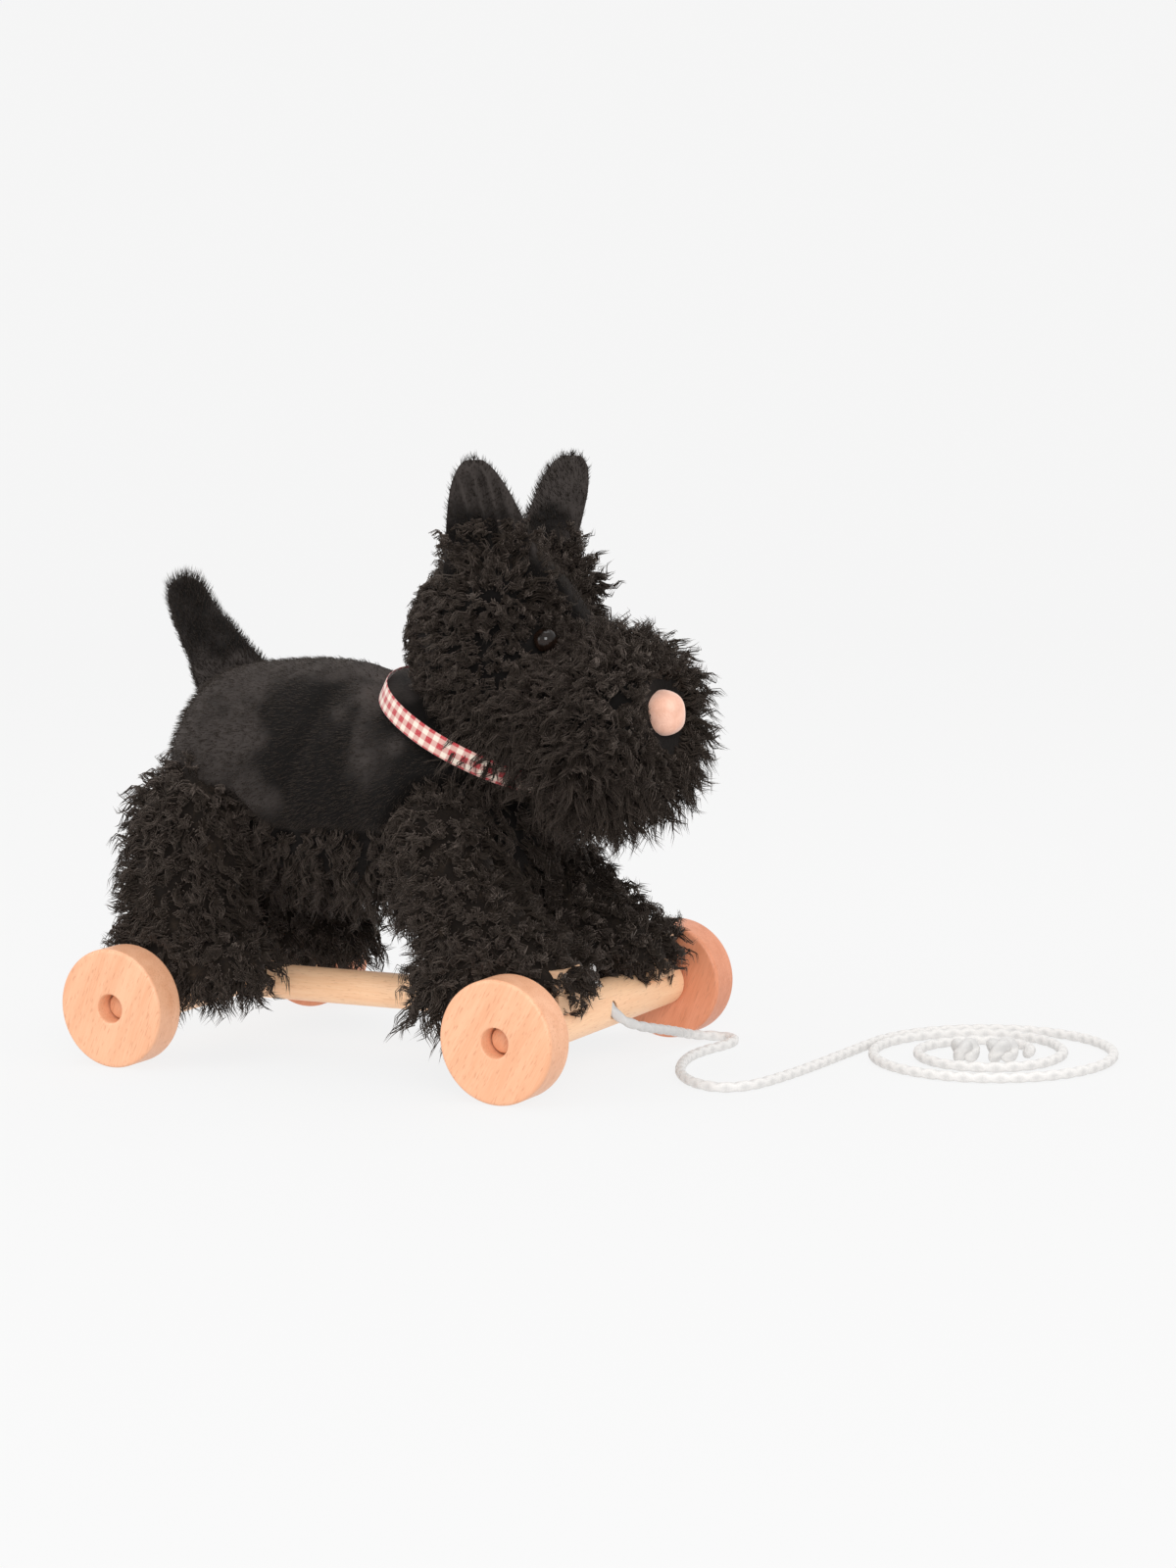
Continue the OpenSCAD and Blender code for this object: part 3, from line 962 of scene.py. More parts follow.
@dataclass
class Studio:
    """The camera, three soft lights, and a pale tent whose floor runs up into its wall."""

    target: Point = (79.516, 0.0, 117.357)
    azimuth: float = 28.162
    elevation: float = 6.826
    roll: float = -1.005
    distance: float = 1327.88
    lens: float = 74.73
    paper: float = 0.93
    bounce: float = 0.08
    tent_sides: int = 96

    def camera(self) -> None:
        """Aims the camera at the target from its azimuth, elevation and distance, with a slight roll."""
        a, e, r = (math.radians(v) for v in (self.azimuth, self.elevation, self.roll))
        back = Vector((math.sin(a) * math.cos(e), -math.cos(a) * math.cos(e), math.sin(e)))
        right = Vector((math.cos(a), math.sin(a), 0.0))
        up = back.cross(right)
        turned_right = right * math.cos(r) + up * math.sin(r)
        turned_up = up * math.cos(r) - right * math.sin(r)
        data = bpy.data.cameras.new("camera")
        data.lens, data.sensor_width = self.lens, 36.0
        data.clip_start, data.clip_end = 0.05, 50.0
        obj = link("camera", data)
        pose = Matrix((turned_right, turned_up, back)).transposed().to_4x4()
        pose.translation = (Vector(self.target) + back * self.distance) * MM
        obj.matrix_world = pose
        bpy.context.scene.camera = obj
        bpy.context.scene.view_settings.view_transform = "Standard"

    @staticmethod
    def softbox(name: str, at: Point, size: float, power: float, aim: Point = (0.0, 0.0, 0.1)) -> None:
        """A square area light at a place in metres, facing aim.

        Args:
            name: Name of the light.
            at: Its place, in metres.
            size: Side of its square, in metres.
            power: Its power, in watts.
            aim: Where it faces, in metres.
        """
        data = bpy.data.lights.new(name, "AREA")
        data.size, data.energy = size, power
        obj = link(name, data)
        obj.location = at
        obj.rotation_euler = (Vector(aim) - Vector(at)).to_track_quat("-Z", "Y").to_euler()

    def tent(self) -> None:
        """A round floor that bends up into a wall: the bend is a quarter circle."""
        bend = np.linspace(0, math.pi / 2, 14)
        floor_r, bend_r = 2400.0, 900.0
        r = np.concatenate([[0.0, 600.0, 1500.0], floor_r + bend_r * np.sin(bend), [floor_r + bend_r] * 2])
        z = np.concatenate([[0.0, 0.0, 0.0], bend_r * (1 - np.cos(bend)), [2600.0, 4200.0]])
        a = circle(self.tent_sides)
        grid = np.stack([r[:, None] * np.cos(a), r[:, None] * np.sin(a), z[:, None] + 0 * a], axis=-1)
        mesh = bpy.data.meshes.new("studio_tent")
        quads = ring_faces(len(r), self.tent_sides)
        mesh.from_pydata((grid.reshape(-1, 3) * MM).tolist(), [], quads.tolist())
        mesh.polygons.foreach_set("use_smooth", np.ones(len(quads), dtype=bool))
        obj = link("studio_tent", mesh)
        glow = self.paper * (1.0 - self.bounce) - 0.02
        f = Finish("tent_paper", Base_Color=(self.bounce,) * 3, Roughness=1.0, Specular_IOR_Level=0.0,
                   Emission_Color=(1.0, 1.0, 1.0), Emission_Strength=glow)
        obj.data.materials.append(f.material)

    def build(self) -> None:
        """Lights the toy from beside the camera, from the left and from above."""
        world = bpy.data.worlds.new("studio")
        world.use_nodes = True
        world.node_tree.nodes["Background"].inputs[0].default_value = (0.93, 0.93, 0.93, 1.0)
        bpy.context.scene.world = world
        self.tent()
        self.softbox("key_front", (1.1, -1.6, 0.8), 0.8, 19.0)
        self.softbox("fill_left", (-1.1, -1.3, 0.7), 1.0, 6.0)
        self.softbox("top", (0.1, 0.2, 1.7), 1.1, 7.0)


# ---- Pull cord ----


# The lead, from the stopper knot down through the bar and round on the floor.
ROUTE = [(79.6, 0, 35.85), (85.1, 0, 29.3), (89.9, 0, 23.6), (93.5, 2.5, 19.8), (96.5, 9, 16.8),
         (98, 20, 13.8), (98, 34, 10.4), (97, 48, 6.8), (97.6, 57.5, 4.3), (100.4, 64.5, 2.9),
         (106.3, 68, 2.2), (112.4, 65.6, 2.2), (115, 59, 2.2), (114.4, 50, 2.2), (112.2, 39, 2.2),
         (112, 25, 2.2), (116, 9, 2.2), (123, -6, 2.2), (133, -18, 2.2), (144, -24, 2.2),
         (153, -23, 2.2), (160, -13, 2.2), (164, 6, 2.2), (166.5, 28, 2.2), (168, 50, 2.2)]

# The hand-laid spiral: angle about its centre in degrees, and distance from it.
SPIRAL = [(180, 53), (150, 52), (90, 51), (0, 50), (-90, 49), (-180, 48), (-225, 45), (-270, 38), (-315, 31),
          (-360, 28.5), (-450, 29), (-540, 30), (-600, 27), (-660, 20), (-700, 15)]


@dataclass
class PullCord:
    """A braided cotton cord: out of the bar, round on the floor, into a flat spiral that ends in a knot."""

    diameter: float = 4.2
    mouth: Point = (89.9, 0.0, 23.6)
    spiral_at: Point = (223.0, 80.0, 2.2)
    end_knots: tuple[Point, Point] = ((217.0, 66.0, 5.6), (230.0, 74.0, 5.2))
    strands: int = 2
    pitch: float = 7.2

    def path(self) -> Array:
        """The centre line: the lead's points, then the spiral, drawn in once it nears the knot.

        Returns:
            Points along the cord, in millimetres.
        """
        wide = np.linspace(178, -700, 74)
        angle = np.radians(wide)[:, None]
        bends, reach = np.array(SPIRAL).T
        radius = np.interp(-wide, -bends, reach)[:, None]
        turns = np.concatenate([np.cos(angle), np.sin(angle), 0 * angle], axis=1)
        spiral = np.array(self.spiral_at) + radius * turns
        return even_steps(smooth_route([*ROUTE, *map(tuple, spiral)], 6), 0.75)

    def braid(self, name: str, path: Array, sides: int = 18, plump: float = 1.0) -> bpy.types.Object:
        """A tube whose radius rises where either of two opposite helices of strands passes.

        The rise is the larger of cos(m a + k s) and cos(m a - k s), where a is the angle and s the
        length along the cord; the radius is 0.92 plus 0.1 times the rise, times half the diameter.
        The rise is also kept in the attribute "rise", from which the material paints shade into the hollows
        between strands.

        Args:
            name: Name of the piece.
            path: Centre line.
            sides: Points round each ring.
            plump: Times the cord's own thickness, for a knot's crowded strands.

        Returns:
            The piece.
        """
        a = circle(sides)[None, :]
        s = run_length(path)[:, None]
        k = 2 * math.pi / self.pitch
        rise = np.maximum(np.cos(self.strands * a - k * s), np.cos(self.strands * a + k * s))
        piece = put_mesh(name, *tube(path, self.diameter / 2 * plump * (0.92 + 0.1 * rise), sides))
        note_values(piece, "rise", np.append(rise.ravel(), [0.0, 0.0]))
        return piece

    @staticmethod
    def knot(centre: Point, size: float, flat: float) -> Array:
        """A tight knot: x = sin t + 2 sin 2t, y = cos t - 2 cos 2t, z = -flat sin 3t, open at its ends.

        Args:
            centre: The knot's middle.
            size: Millimetres to one unit of the formula.
            flat: How tall the knot stands.

        Returns:
            Points along its strand.
        """
        t = np.linspace(0.15, 2 * math.pi - 0.15, 90)
        x, y = np.sin(t) + 2 * np.sin(2 * t), np.cos(t) - 2 * np.cos(2 * t)
        loop = np.stack([x, y, -flat * np.sin(3 * t)], axis=1)
        return np.array(centre) + even_steps(loop * size, 0.5)

    def material(self) -> bpy.types.Material:
        """Off-white cotton with fine threads, with painted shade in the hollows between strands and on the
        part that hangs up under the dog towards the bar.

        Returns:
            The material.
        """
        f = Finish("cotton_cord", Roughness=0.85, Sheen_Weight=0.15, Sheen_Roughness=0.5,
                   Specular_IOR_Level=0.2)
        # Painted shade: darker where the rise is low, between strands, and greyer where the cord hangs up
        # under the dog.
        thread, rise = f.grain(1400), f.noted("rise")
        split = f.node("ShaderNodeSeparateXYZ", Vector=f.place())
        painted_shade_under_dog = f.out(split, "Z").step(3.5 * MM, 9 * MM) * 0.45
        tone = (rise * 0.25 + thread * 0.6 + 0.2 - painted_shade_under_dog).step(0.0, 1.0)
        colour = f.mix(tone, (0.56, 0.55, 0.54), (0.73, 0.71, 0.69))
        f.feed(Base_Color=colour, Roughness=thread * 0.15 + 0.75)
        return f.bump(thread, 0.5, 0.25).material

    def build(self) -> None:
        cotton = self.material()
        path = self.path()
        cord = dress(self.braid("pull_cord_braid", path), "cotton_cord", cotton)
        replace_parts(cord, "pull_cord", "cord_coil")
        first, second = self.end_knots
        ends = [("cord_stopper_knot", (76.35, 0, 39.7), 1.0, 1.1, 1.0),
                ("cord_end_knot", first, 1.3, 1.7, 1.25), ("cord_end_knot", second, 1.5, 1.6, 1.3)]
        for i, (node, centre, size, flat, plump) in enumerate(ends):
            knot = self.braid(f"{node}_braid_{i}", self.knot(centre, size, flat), plump=plump)
            piece = dress(knot, "cotton_cord", cotton)
            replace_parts(piece, node)
            report(piece)
        report(cord)


# ---- Trolley ----


@dataclass
class Trolley:
    """Four turned wheels on glued pegs, two cross bars and a centre rail."""

    wheel_r: float = 25.0
    wheel_in: float = 66.0
    wheel_out: float = 82.0
    edge: float = 1.5
    bore_r: float = 4.33
    recess_r: float = 6.0
    recess_y: float = 72.5
    peg_r: float = 4.25
    head_r: float = 5.3
    oil: Beech = Beech()
    # Darker, redder copy of the beech for the far wheels and pegs: painted shade.
    pink: Beech = Beech(light=(0.70, 0.28, 0.155), dark=(0.60, 0.21, 0.10))
    # Paler copy of the beech for bars and rail: painted light that lifts them out of the shade of the dog.
    pale: Beech = Beech(light=(0.96, 0.62, 0.38), dark=(0.88, 0.51, 0.29), flecked=0.25)

    def wheel_profile(self) -> Outline:
        """Bore, inner face, rounded tread and the stepped recess, with rounds as arcs.

        Returns:
            The outline, from the bore round to the bore.
        """
        a = np.radians(np.arange(0, 91, 15))
        r, c, near, far = self.wheel_r, self.edge, self.wheel_in, self.wheel_out
        bore, well_r, well_y = self.bore_r, self.recess_r, self.recess_y
        inner = zip(r - c + c * np.sin(a), near + c - c * np.cos(a))
        outer = zip(r - c + c * np.cos(a), far - c + c * np.sin(a))
        lip = [(well_r + 1.0, far), (well_r + 0.4, far), (well_r, far - 0.4)]
        well = [(well_r, well_y + 0.3), (well_r, well_y), (well_r - 0.3, well_y)]
        return [(bore, near), (bore + 0.4, near), (r - c - 0.6, near), *inner,
                (r, near + c + 0.5), (r, far - c - 0.5), *outer, (r - c - 0.6, far),
                *lip, *well, (bore + 0.3, well_y), (bore, well_y)]

    def peg_profile(self) -> Outline:
        """Shank and a low head with a softened rim.

        Returns:
            The outline, from the axis to the axis.
        """
        head, r, rim = self.recess_y + 0.4, self.peg_r, self.head_r
        return [(0, 45.0), (r, 45.0), (r, head), (rim - 0.3, head), (rim, head + 0.3),
                (rim, head + 1.5), (rim - 0.25, head + 1.95), (rim - 0.8, head + 2.2), (0, head + 2.2)]

    def wheel_and_peg(self, row: str, x: float, side: Side) -> None:
        """One wheel on its peg, both of a wood whose pattern no other pair has.

        Args:
            row: Front or rear, as in the pieces' names.
            x: Where the axle stands.
            side: Which end of the axle.
        """
        key = f"{row}_{side.word}"
        number = len(bpy.data.objects)
        # The far (left) wheels and pegs take the copy with painted shade.
        beech = self.oil if side is Side.RIGHT else self.pink
        turn, shift = (0, 52 + 7 * (number % 3), 0), (0.31 * number, 0.17 * number, 0.0)
        wood = beech.make(f"beech_{key}", turn=turn, shift=shift)
        rings = turned(side.outline(self.wheel_profile()), x, True)
        wheel = put_mesh(f"{key}_turned_wheel", *rings, body=f"{key}_wheel")
        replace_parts(report(dress(wheel, "beech", wood)), f"{key}_wheel")
        peg = put_mesh(f"{key}_turned_peg", *turned(side.outline(self.peg_profile()), x, False, 64))
        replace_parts(report(dress(peg, "peg_wood", wood)), f"{key}_axle_peg")

    def build(self) -> None:
        """Makes wheels and pegs, and finishes the bars, rail, blocks and screws where they stand."""
        for row, x in (("front", FRONT_X), ("rear", REAR_X)):
            for side in Side:
                self.wheel_and_peg(row, x, side)
        # Bars and rail take the copy with painted light.
        along_y = self.pale.make("beech_bars", turn=(0, 0, -90))
        along_x = self.pale.make("beech_rail", shift=(0.0, 0.4, 0.2))
        raw = Beech(light=(0.66, 0.42, 0.26), dark=(0.55, 0.33, 0.19), roughness=0.7)
        sawn = raw.make("beech_blocks")
        steel = Finish("screw_steel", Base_Color=(0.55, 0.55, 0.57), Metallic=1.0, Roughness=0.35)
        steel.feed(Roughness=steel.noise(steel.place(scale=(700, 700, 90))) * 0.3 + 0.25)
        finishes = {"front_cross_bar": along_y, "rear_cross_bar": along_y, "centre_rail": along_x,
                    "front_paw_blocks": sawn, "rear_paw_blocks": sawn, "paw_screws": steel.material}
        for node, material in finishes.items():
            dress(frame["nodes"][node], "", material)


# ---- Where the pile lies ----


def collar_place(p: Array) -> tuple[Array, Array]:
    """Height above the collar's plane and distance from its axis.

    Args:
        p: Points, with x, y and z on the last axis.

    Returns:
        Height and distance, shaped as the points.
    """
    d = p - COLLAR_AT
    up = d @ COLLAR_UP
    return up, np.linalg.norm(d - up[..., None] * COLLAR_UP, axis=-1)


def clear_trolley(lines: Array) -> Array:
    """Lays fibres round the bars and rail, and keeps them off the wheels and the floor.

    Args:
        lines: Fibres by rings by 3.

    Returns:
        The same fibres, moved where they were in the way.
    """
    x, y, z = (lines[..., i].copy() for i in range(3))
    for axle in (FRONT_X, REAR_X):
        dx, dz, keep = x - axle, z - AXLE_Z, BAR_R + PILE_GAP
        far = np.maximum(np.hypot(dx, dz), 1e-6)
        push = np.where((far < keep) & (np.abs(y) < BAR_END), keep / far, 1.0)
        x, z = axle + dx * push, AXLE_Z + dz * push
        near = (z < AXLE_Z + WHEEL_REACH) & (np.abs(x - axle) < WHEEL_REACH)
        y = np.where(near, np.clip(y, -PILE_SIDE, PILE_SIDE), y)
    dz, keep = z - AXLE_Z, RAIL_R + PILE_GAP
    far = np.maximum(np.hypot(y, dz), 1e-6)
    push = np.where((far < keep) & (x > REAR_X) & (x < FRONT_X), keep / far, 1.0)
    return np.stack([x, y * push, np.maximum(AXLE_Z + dz * push, PILE_FLOOR)], axis=-1)


def steady(*way: float) -> OfRoots:
    """A comb that brushes every root the same way.

    Args:
        way: The direction, as x, y and z.

    Returns:
        The comb.
    """

    def comb(p: Array, n: Array) -> Array:
        """The one direction, once for each root."""
        return np.array(way) + 0 * p

    return comb


def full_length(p: Array) -> Array:
    """Every root's pile at its usual length."""
    return np.ones(len(p))


def brushed(p: Array) -> Array:
    """Painted sheen on the short pile: lighter on rump, spine, mid-flank, ears and tail, with painted shade
    in the ears' hollows, and waves.

    Args:
        p: Points, with x, y and z on the last axis.

    Returns:
        Shares from 0 to 1.2.
    """
    x, z = p[..., 0] + 7 * waves(p, 24, 31), p[..., 2]
    flank = 0.7 * hump(x + 1 + 0.2 * (z - 125), 12) * smooth_step(z, 104, 128) * smooth_step(176 - z, 0, 12)
    rump = 0.9 * smooth_step(-x - 0.25 * (z - 130), 38, 62) * smooth_step(z, 98, 112)
    rump = rump * smooth_step(170 - z, 0, 14)
    spine = 0.55 * smooth_step(z, 150, 164) * smooth_step(30 - x, 0, 20) * smooth_step(x, -92, -84)
    # Painted shade in the ears' hollows.
    hollow = 1 - 0.9 * hump(x - 50, 8) * smooth_step(238 - z, 0, 14)
    others = 0.8 * smooth_step(z, 204, 216) * hollow
    others = others + 0.25 * smooth_step(-x, 88, 96) * smooth_step(z, 156, 164)
    bright = np.maximum(np.maximum(flank, rump), np.maximum(spine, others))
    return np.clip(bright + (0.26 * waves(p, 34, 14) + 0.16 * waves(p, 13, 15)), 0, 1.2)


def faded(p: Array) -> Array:
    """Painted light and shade on the curls: lighter higher up and palest on the head, darkest on the hind
    legs, and a painted pool of light reflected from the floor on the mid-belly.

    Args:
        p: Points, n by 3.

    Returns:
        One value per point, about -1 to 2.
    """
    x, z = p[:, 0], p[:, 2]
    # Painted pool of light reflected from the floor.
    belly = 1.4 * hump(x + 22, 30) * hump(z - 94, 14)
    return 1.4 * smooth_step(z, 98, 140) + belly - 0.7 - 0.25 * smooth_step(-x, 30, 60)


def curly_share(p: Array) -> Array:
    """From 0 above the flank's seam to 1 below it; the seam is low in the middle and rises to both ends.

    Args:
        p: Points, with x, y and z on the last axis.

    Returns:
        Shares from 0 to 1.
    """
    x = p[..., 0]
    seam = 99 + 22 * smooth_step(x, 0, 24) + 14 * smooth_step(-x, 48, 72)
    return smooth_step(seam - p[..., 2], -4, 4)


def muzzle(p: Array) -> Array:
    """From 0 on the skull to 1 on the muzzle."""
    return smooth_step(p[..., 0] - 0.35 * (p[..., 2] - 150), 50, 74)


def front(p: Array) -> Array:
    """From 0 on the nape to 1 on the cheeks."""
    return smooth_step(p[..., 0], 8, 42)


def forehead(p: Array) -> Array:
    """1 on the narrow short-pile panel between the eyes."""
    along = smooth_step(p[..., 0], 30, 40) * smooth_step(94 - p[..., 0], 0, 6)
    return smooth_step(6.8 - np.abs(p[..., 1]), 0, 1.2) * smooth_step(p[..., 2], 177, 182) * along


def crest(p: Array) -> Array:
    """1 on the two tufts in front of the ears."""
    high = smooth_step(p[..., 2], 184, 198)
    return high * smooth_step(np.abs(p[..., 1]), 9, 20) * smooth_step(p[..., 0], 36, 52)


def beard(p: Array) -> Array:
    """1 on the chin and under the cheeks."""
    return smooth_step(152 - p[..., 2], 0, 14) * smooth_step(p[..., 0], 32, 44)


def from_pair(p: Array, at: Point) -> Array:
    """Distance to the nearer of a place and its mirror image."""
    return np.min([np.linalg.norm(p - np.array(s.place(at)), axis=-1) for s in Side], axis=0)


def from_eyes(p: Array) -> Array:
    """Distance to the nearer eye."""
    return from_pair(p, EYE_AT)


def from_nose(p: Array) -> Array:
    """Distance to the nose, shorter up and down because it stands upright."""
    return np.linalg.norm((p - NOSE_FRONT) / (1.0, 1.0, 1.25), axis=-1)


def from_parting(p: Array) -> Array:
    """Distance to where the curls part beside the nose."""
    return np.linalg.norm(p - PARTING, axis=-1)


def torso_inset(p: Array) -> Array:
    """Depth of the torso's cloth: deeper under curls, at two flank folds and where the neck begins.

    Args:
        p: Points, with x, y and z on the last axis.

    Returns:
        Millimetres under the shape.
    """
    up, far = collar_place(p)
    neck = np.where(up > -5.2, far - np.where(up > 4.0, 37.0, 44.5), OUT_OF_REACH)
    x, tall = p[..., 0], p[..., 2] - 120
    folds = hump(x + 38 - 0.35 * tall, 5) + 0.8 * hump(x + 12 + 0.25 * tall, 6)
    folds = 2.4 * folds * smooth_step(np.abs(p[..., 1]), 6, 26)
    return np.maximum(1.6 + folds + 7.5 * curly_share(p), neck - TORSO.depth(p))


def leg_inset(p: Array) -> Array:
    """Depth of a leg's cloth, less in the paw."""
    return 9.5 - 4.5 * smooth_step(58 - p[..., 2], 0, 14)


def head_inset(p: Array) -> Array:
    """Depth of the head's cloth: deepest on the muzzle and round the nose, shallow at crest and eyes.

    Args:
        p: Points, with x, y and z on the last axis.

    Returns:
        Millimetres under the shape.
    """
    up, far = collar_place(p)
    limit = 44.5 + 22 * smooth_step(p[..., 0], 35, 47)
    neck = np.where(up < 5.2, far - limit, OUT_OF_REACH)
    cheek = 3.5 + 3.5 * front(p) + 5.0 * muzzle(p) - 4.0 * crest(p) - 4.5 * hump(from_eyes(p), 9)
    cheek = cheek + 7.0 * hump(from_nose(p), 13) + 5.5 * hump(from_parting(p), 15)
    seam = 1.8 * hump(np.abs(p[..., 1]) - 6.4, 1.2) * smooth_step(p[..., 2], 175, 182)
    inset = cheek * (1 - forehead(p)) + 2.0 * forehead(p) + seam
    return np.maximum(inset, neck - HEAD.depth(p))


def in_torso(p: Array) -> Array:
    """Whether torso roots are hidden: inside a leg, or under the collar and head."""
    legs = [form.on(s).depth(p) < -9 for form in (FRONT_LEG, REAR_LEG) for s in Side]
    return np.any(legs, axis=0) | (collar_place(p)[0] > -4.5)


def in_neck(p: Array) -> Array:
    """Whether head roots are hidden: under the collar or inside the torso."""
    up, far = collar_place(p)
    return (up < 5) & ((far < 50) | (TORSO.depth(p) < -4))


def open_face(p: Array) -> Array:
    """Whether head roots are clear of the eyes, the place beside each eye, and the nose."""
    beside_eye = from_pair(p, (77.0, 28.0, 180.0))
    return (from_eyes(p) > 7.5) & (from_nose(p) > 12.5) & (beside_eye > 7.0)


def splay(p: Array, n: Array) -> Array:
    """The head's comb: away from the nose on the muzzle, up at the crest, down in the beard.

    Args:
        p: Roots.
        n: Outward directions there.

    Returns:
        One direction per root, of any length.
    """
    m, c = muzzle(p)[:, None], crest(p)[:, None]
    away = unit(p - np.array([114, 0, 150])) * 0.8 + np.array([0.3, 0.0, -0.1])
    away = away + 1.6 * hump(from_nose(p), 17)[:, None] * unit(p - np.array([120, 0, 147]))
    parting = np.stack([0 * p[:, 0], np.sign(p[:, 1]), 0 * p[:, 0]], axis=1) * 0.4
    skull = np.array([-0.1, 0.0, 0.1]) + parting
    tuft = np.array([0.2, 0.0, 1.1]) + 0.5 * parting
    chin = (np.array([-0.35, 0.0, -1.0]) * (1 - m)) * beard(p)[:, None]
    return m * away + (1 - m) * skull * (1 - c) + c * tuft + chin


# ---- Plush ----


@dataclass(frozen=True)
class EarShape:
    """How one ear stands: width, taper, turn about its height, the tip's lean and the foot's place."""

    half_width: float
    taper: float
    turn: float
    tip: tuple[float, float]
    foot: float


EARS = {Side.RIGHT: EarShape(22.5, 0.54, -24, (-8.0, 4.0), 53.0),
        Side.LEFT: EarShape(16.0, 0.06, -10, (10.0, 9.0), 43.0)}


@dataclass
class Plushwork:
    """The dog: padded cores of dark cloth with pile grown on them, face, ears and tail."""

    curly: Plush = Plush()
    short: Plush = Plush(shade=(0.0040, 0.0032, 0.0028), light=(0.0395, 0.0328, 0.0300), sheen=0.10)
    curly_steps: tuple[float, ...] = (0.0, 0.3, 0.85, 1.8)
    short_steps: tuple[float, ...] = (0.0, 0.3, 0.65, 1.0)
    tone_limits: tuple[float, ...] = (-0.25, 0.35, 0.95)
    fibres_per_leg: int = 4800

    def __post_init__(self) -> None:
        """Makes the cloth and the fibre shades once."""
        self.short_cloth = self.short.cloth("short_pile_cloth")
        self.curly_cloth = self.curly.cloth("curly_pile_cloth")
        self.curly_tones = [self.curly.fibres(f"curly_fibre_{i}", t) for i, t in enumerate(self.curly_steps)]
        self.short_tones = [self.short.fibres(f"short_fibre_{i}", t) for i, t in enumerate(self.short_steps)]

    def shades(self, at: Array, lines: Array, short: bool, seed: int, rng: np.random.Generator) -> Array:
        """Which of the four shades each face takes; curls start one darker, as painted shade at the root,
        and lighten to a painted highlight at the tip.

        Args:
            at: Roots.
            lines: Fibres by rings by 3, the same number of fibres to each root.
            short: True for the short pile.
            seed: Picks the waves of the curls' shades.
            rng: Source of the random numbers.

        Returns:
            Shade numbers: those of the fibres' sides, then those of their ends.
        """
        # Short pile follows the painted sheen; curls follow random waves and the painted light on the curls.
        patchy = 1.5 * brushed(at) - 0.45 if short else 0.45 * waves(at, 30, seed) + faded(at)
        stray = (0.12 if short else 0.5) * rng.normal(size=len(at))
        tone = np.repeat(np.digitize(patchy + stray, self.tone_limits), len(lines) // len(at))[:, None]
        row = np.repeat(np.arange(lines.shape[1] - 2), 3)[None, :]
        # Curls: painted shade one step darker at the root, painted highlight up to two steps lighter towards
        # the tip.
        painted_root_shade = 0 if short else 1
        sides = tone + np.where(row >= 4, 2, np.where(row >= 2, 1, 0)) - painted_root_shade
        ends = tone + np.array([[0, 2, 2, 2]]) * painted_root_shade - painted_root_shade
        return np.clip(np.concatenate([sides.ravel(), ends.ravel()]), 0, 3)

    def grow(
        self, name: str, skin: Skin, pile: "Locks | Nap", fibres: int,
        keep: OfRoots, comb: OfRoots, scale: OfPoints, seed: int,
    ) -> bpy.types.Object:
        """Grows pile on a skin.

        Args:
            name: Name of the piece.
            skin: Where the roots are.
            pile: Locks or nap.
            fibres: How many fibres.
            keep: Says which roots to keep.
            comb: Gives the brushed direction at each root.
            scale: Gives each root's share of the pile's length.
            seed: Seed of the random numbers.

        Returns:
            The piece.
        """
        short = isinstance(pile, Nap)
        rng = np.random.default_rng(seed)
        need = fibres // pile.per_lock
        at, out = skin.roots(need * 12, rng)
        kept = np.flatnonzero(keep(at, out))
        kept = kept[:need] if short else kept[spread(at[kept], need)]
        at, out = at[kept], out[kept]
        lines, shares = pile.paths(at, out, comb(at, out), scale(at), rng)
        points, faces = fibre_mesh(clear_trolley(lines), shares, pile.thick)
        piece = put_mesh(name, points, faces, slots=self.shades(at, lines, short, seed, rng))
        tones = self.short_tones if short else self.curly_tones
        return report(dress(piece, "short_pile" if short else "curly_pile", *tones))

    def core(
        self, name: str, skin: Skin, cloth: bpy.types.Material, slot: str, nodes: tuple[str, ...]
    ) -> bpy.types.Object:
        """The padded cloth body under the pile.

        Args:
            name: Name of the piece.
            skin: Its shape.
            cloth: Its material.
            slot: The record's slot that it stands for.
            nodes: The CAD nodes that it replaces.

        Returns:
            The piece.
        """
        points, faces = skin.mesh()
        piece = dress(put_mesh(name, points, faces), slot, cloth)
        # The short pile stores painted sheen; the curly cores store a random tone.
        shine = brushed(points) if cloth is self.short_cloth else 0.12 + 0.15 * waves(points, 6, 21)
        note_values(piece, "brushed", shine)
        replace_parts(piece, *nodes)
        return report(piece)

    def torso(self) -> None:
        """Back, belly and chest."""
        skin = Skin.over(TORSO, torso_inset, 96, 120).lumped(1.0, 60, 3)
        self.core("torso_plush", skin, self.short_cloth, "short_pile",
                  ("back_cover", "belly_cover", "torso_stuffing"))
        for i, side in enumerate(Side):

            def on_back(p: Array, n: Array) -> Array:
                """Seen roots above the seam, on this side."""
                return (side.value * p[:, 1] > 0) & (curly_share(p) < 0.5) & ~in_torso(p)

            name = f"back_nap_{side.word}"
            self.grow(name, skin, Nap(), 7600, on_back, steady(-1.0, 0.0, -0.35), full_length, 20 + i)

        def on_belly(p: Array, n: Array) -> Array:
            """Seen roots below the seam."""
            return (curly_share(p) > 0.5) & ~in_torso(p)

        def hang(p: Array) -> Array:
            """Longer on the chest and under the belly."""
            belly = smooth_step(84 - p[:, 2], 0, 14) * smooth_step(20 - p[:, 0], 0, 20)
            return 0.8 + 0.3 * smooth_step(p[:, 0], 10, 50) + 0.4 * belly

        self.grow("belly_locks", skin, Locks(length=13), 4400, on_belly, steady(0.15, 0.0, -1.0), hang, 24)

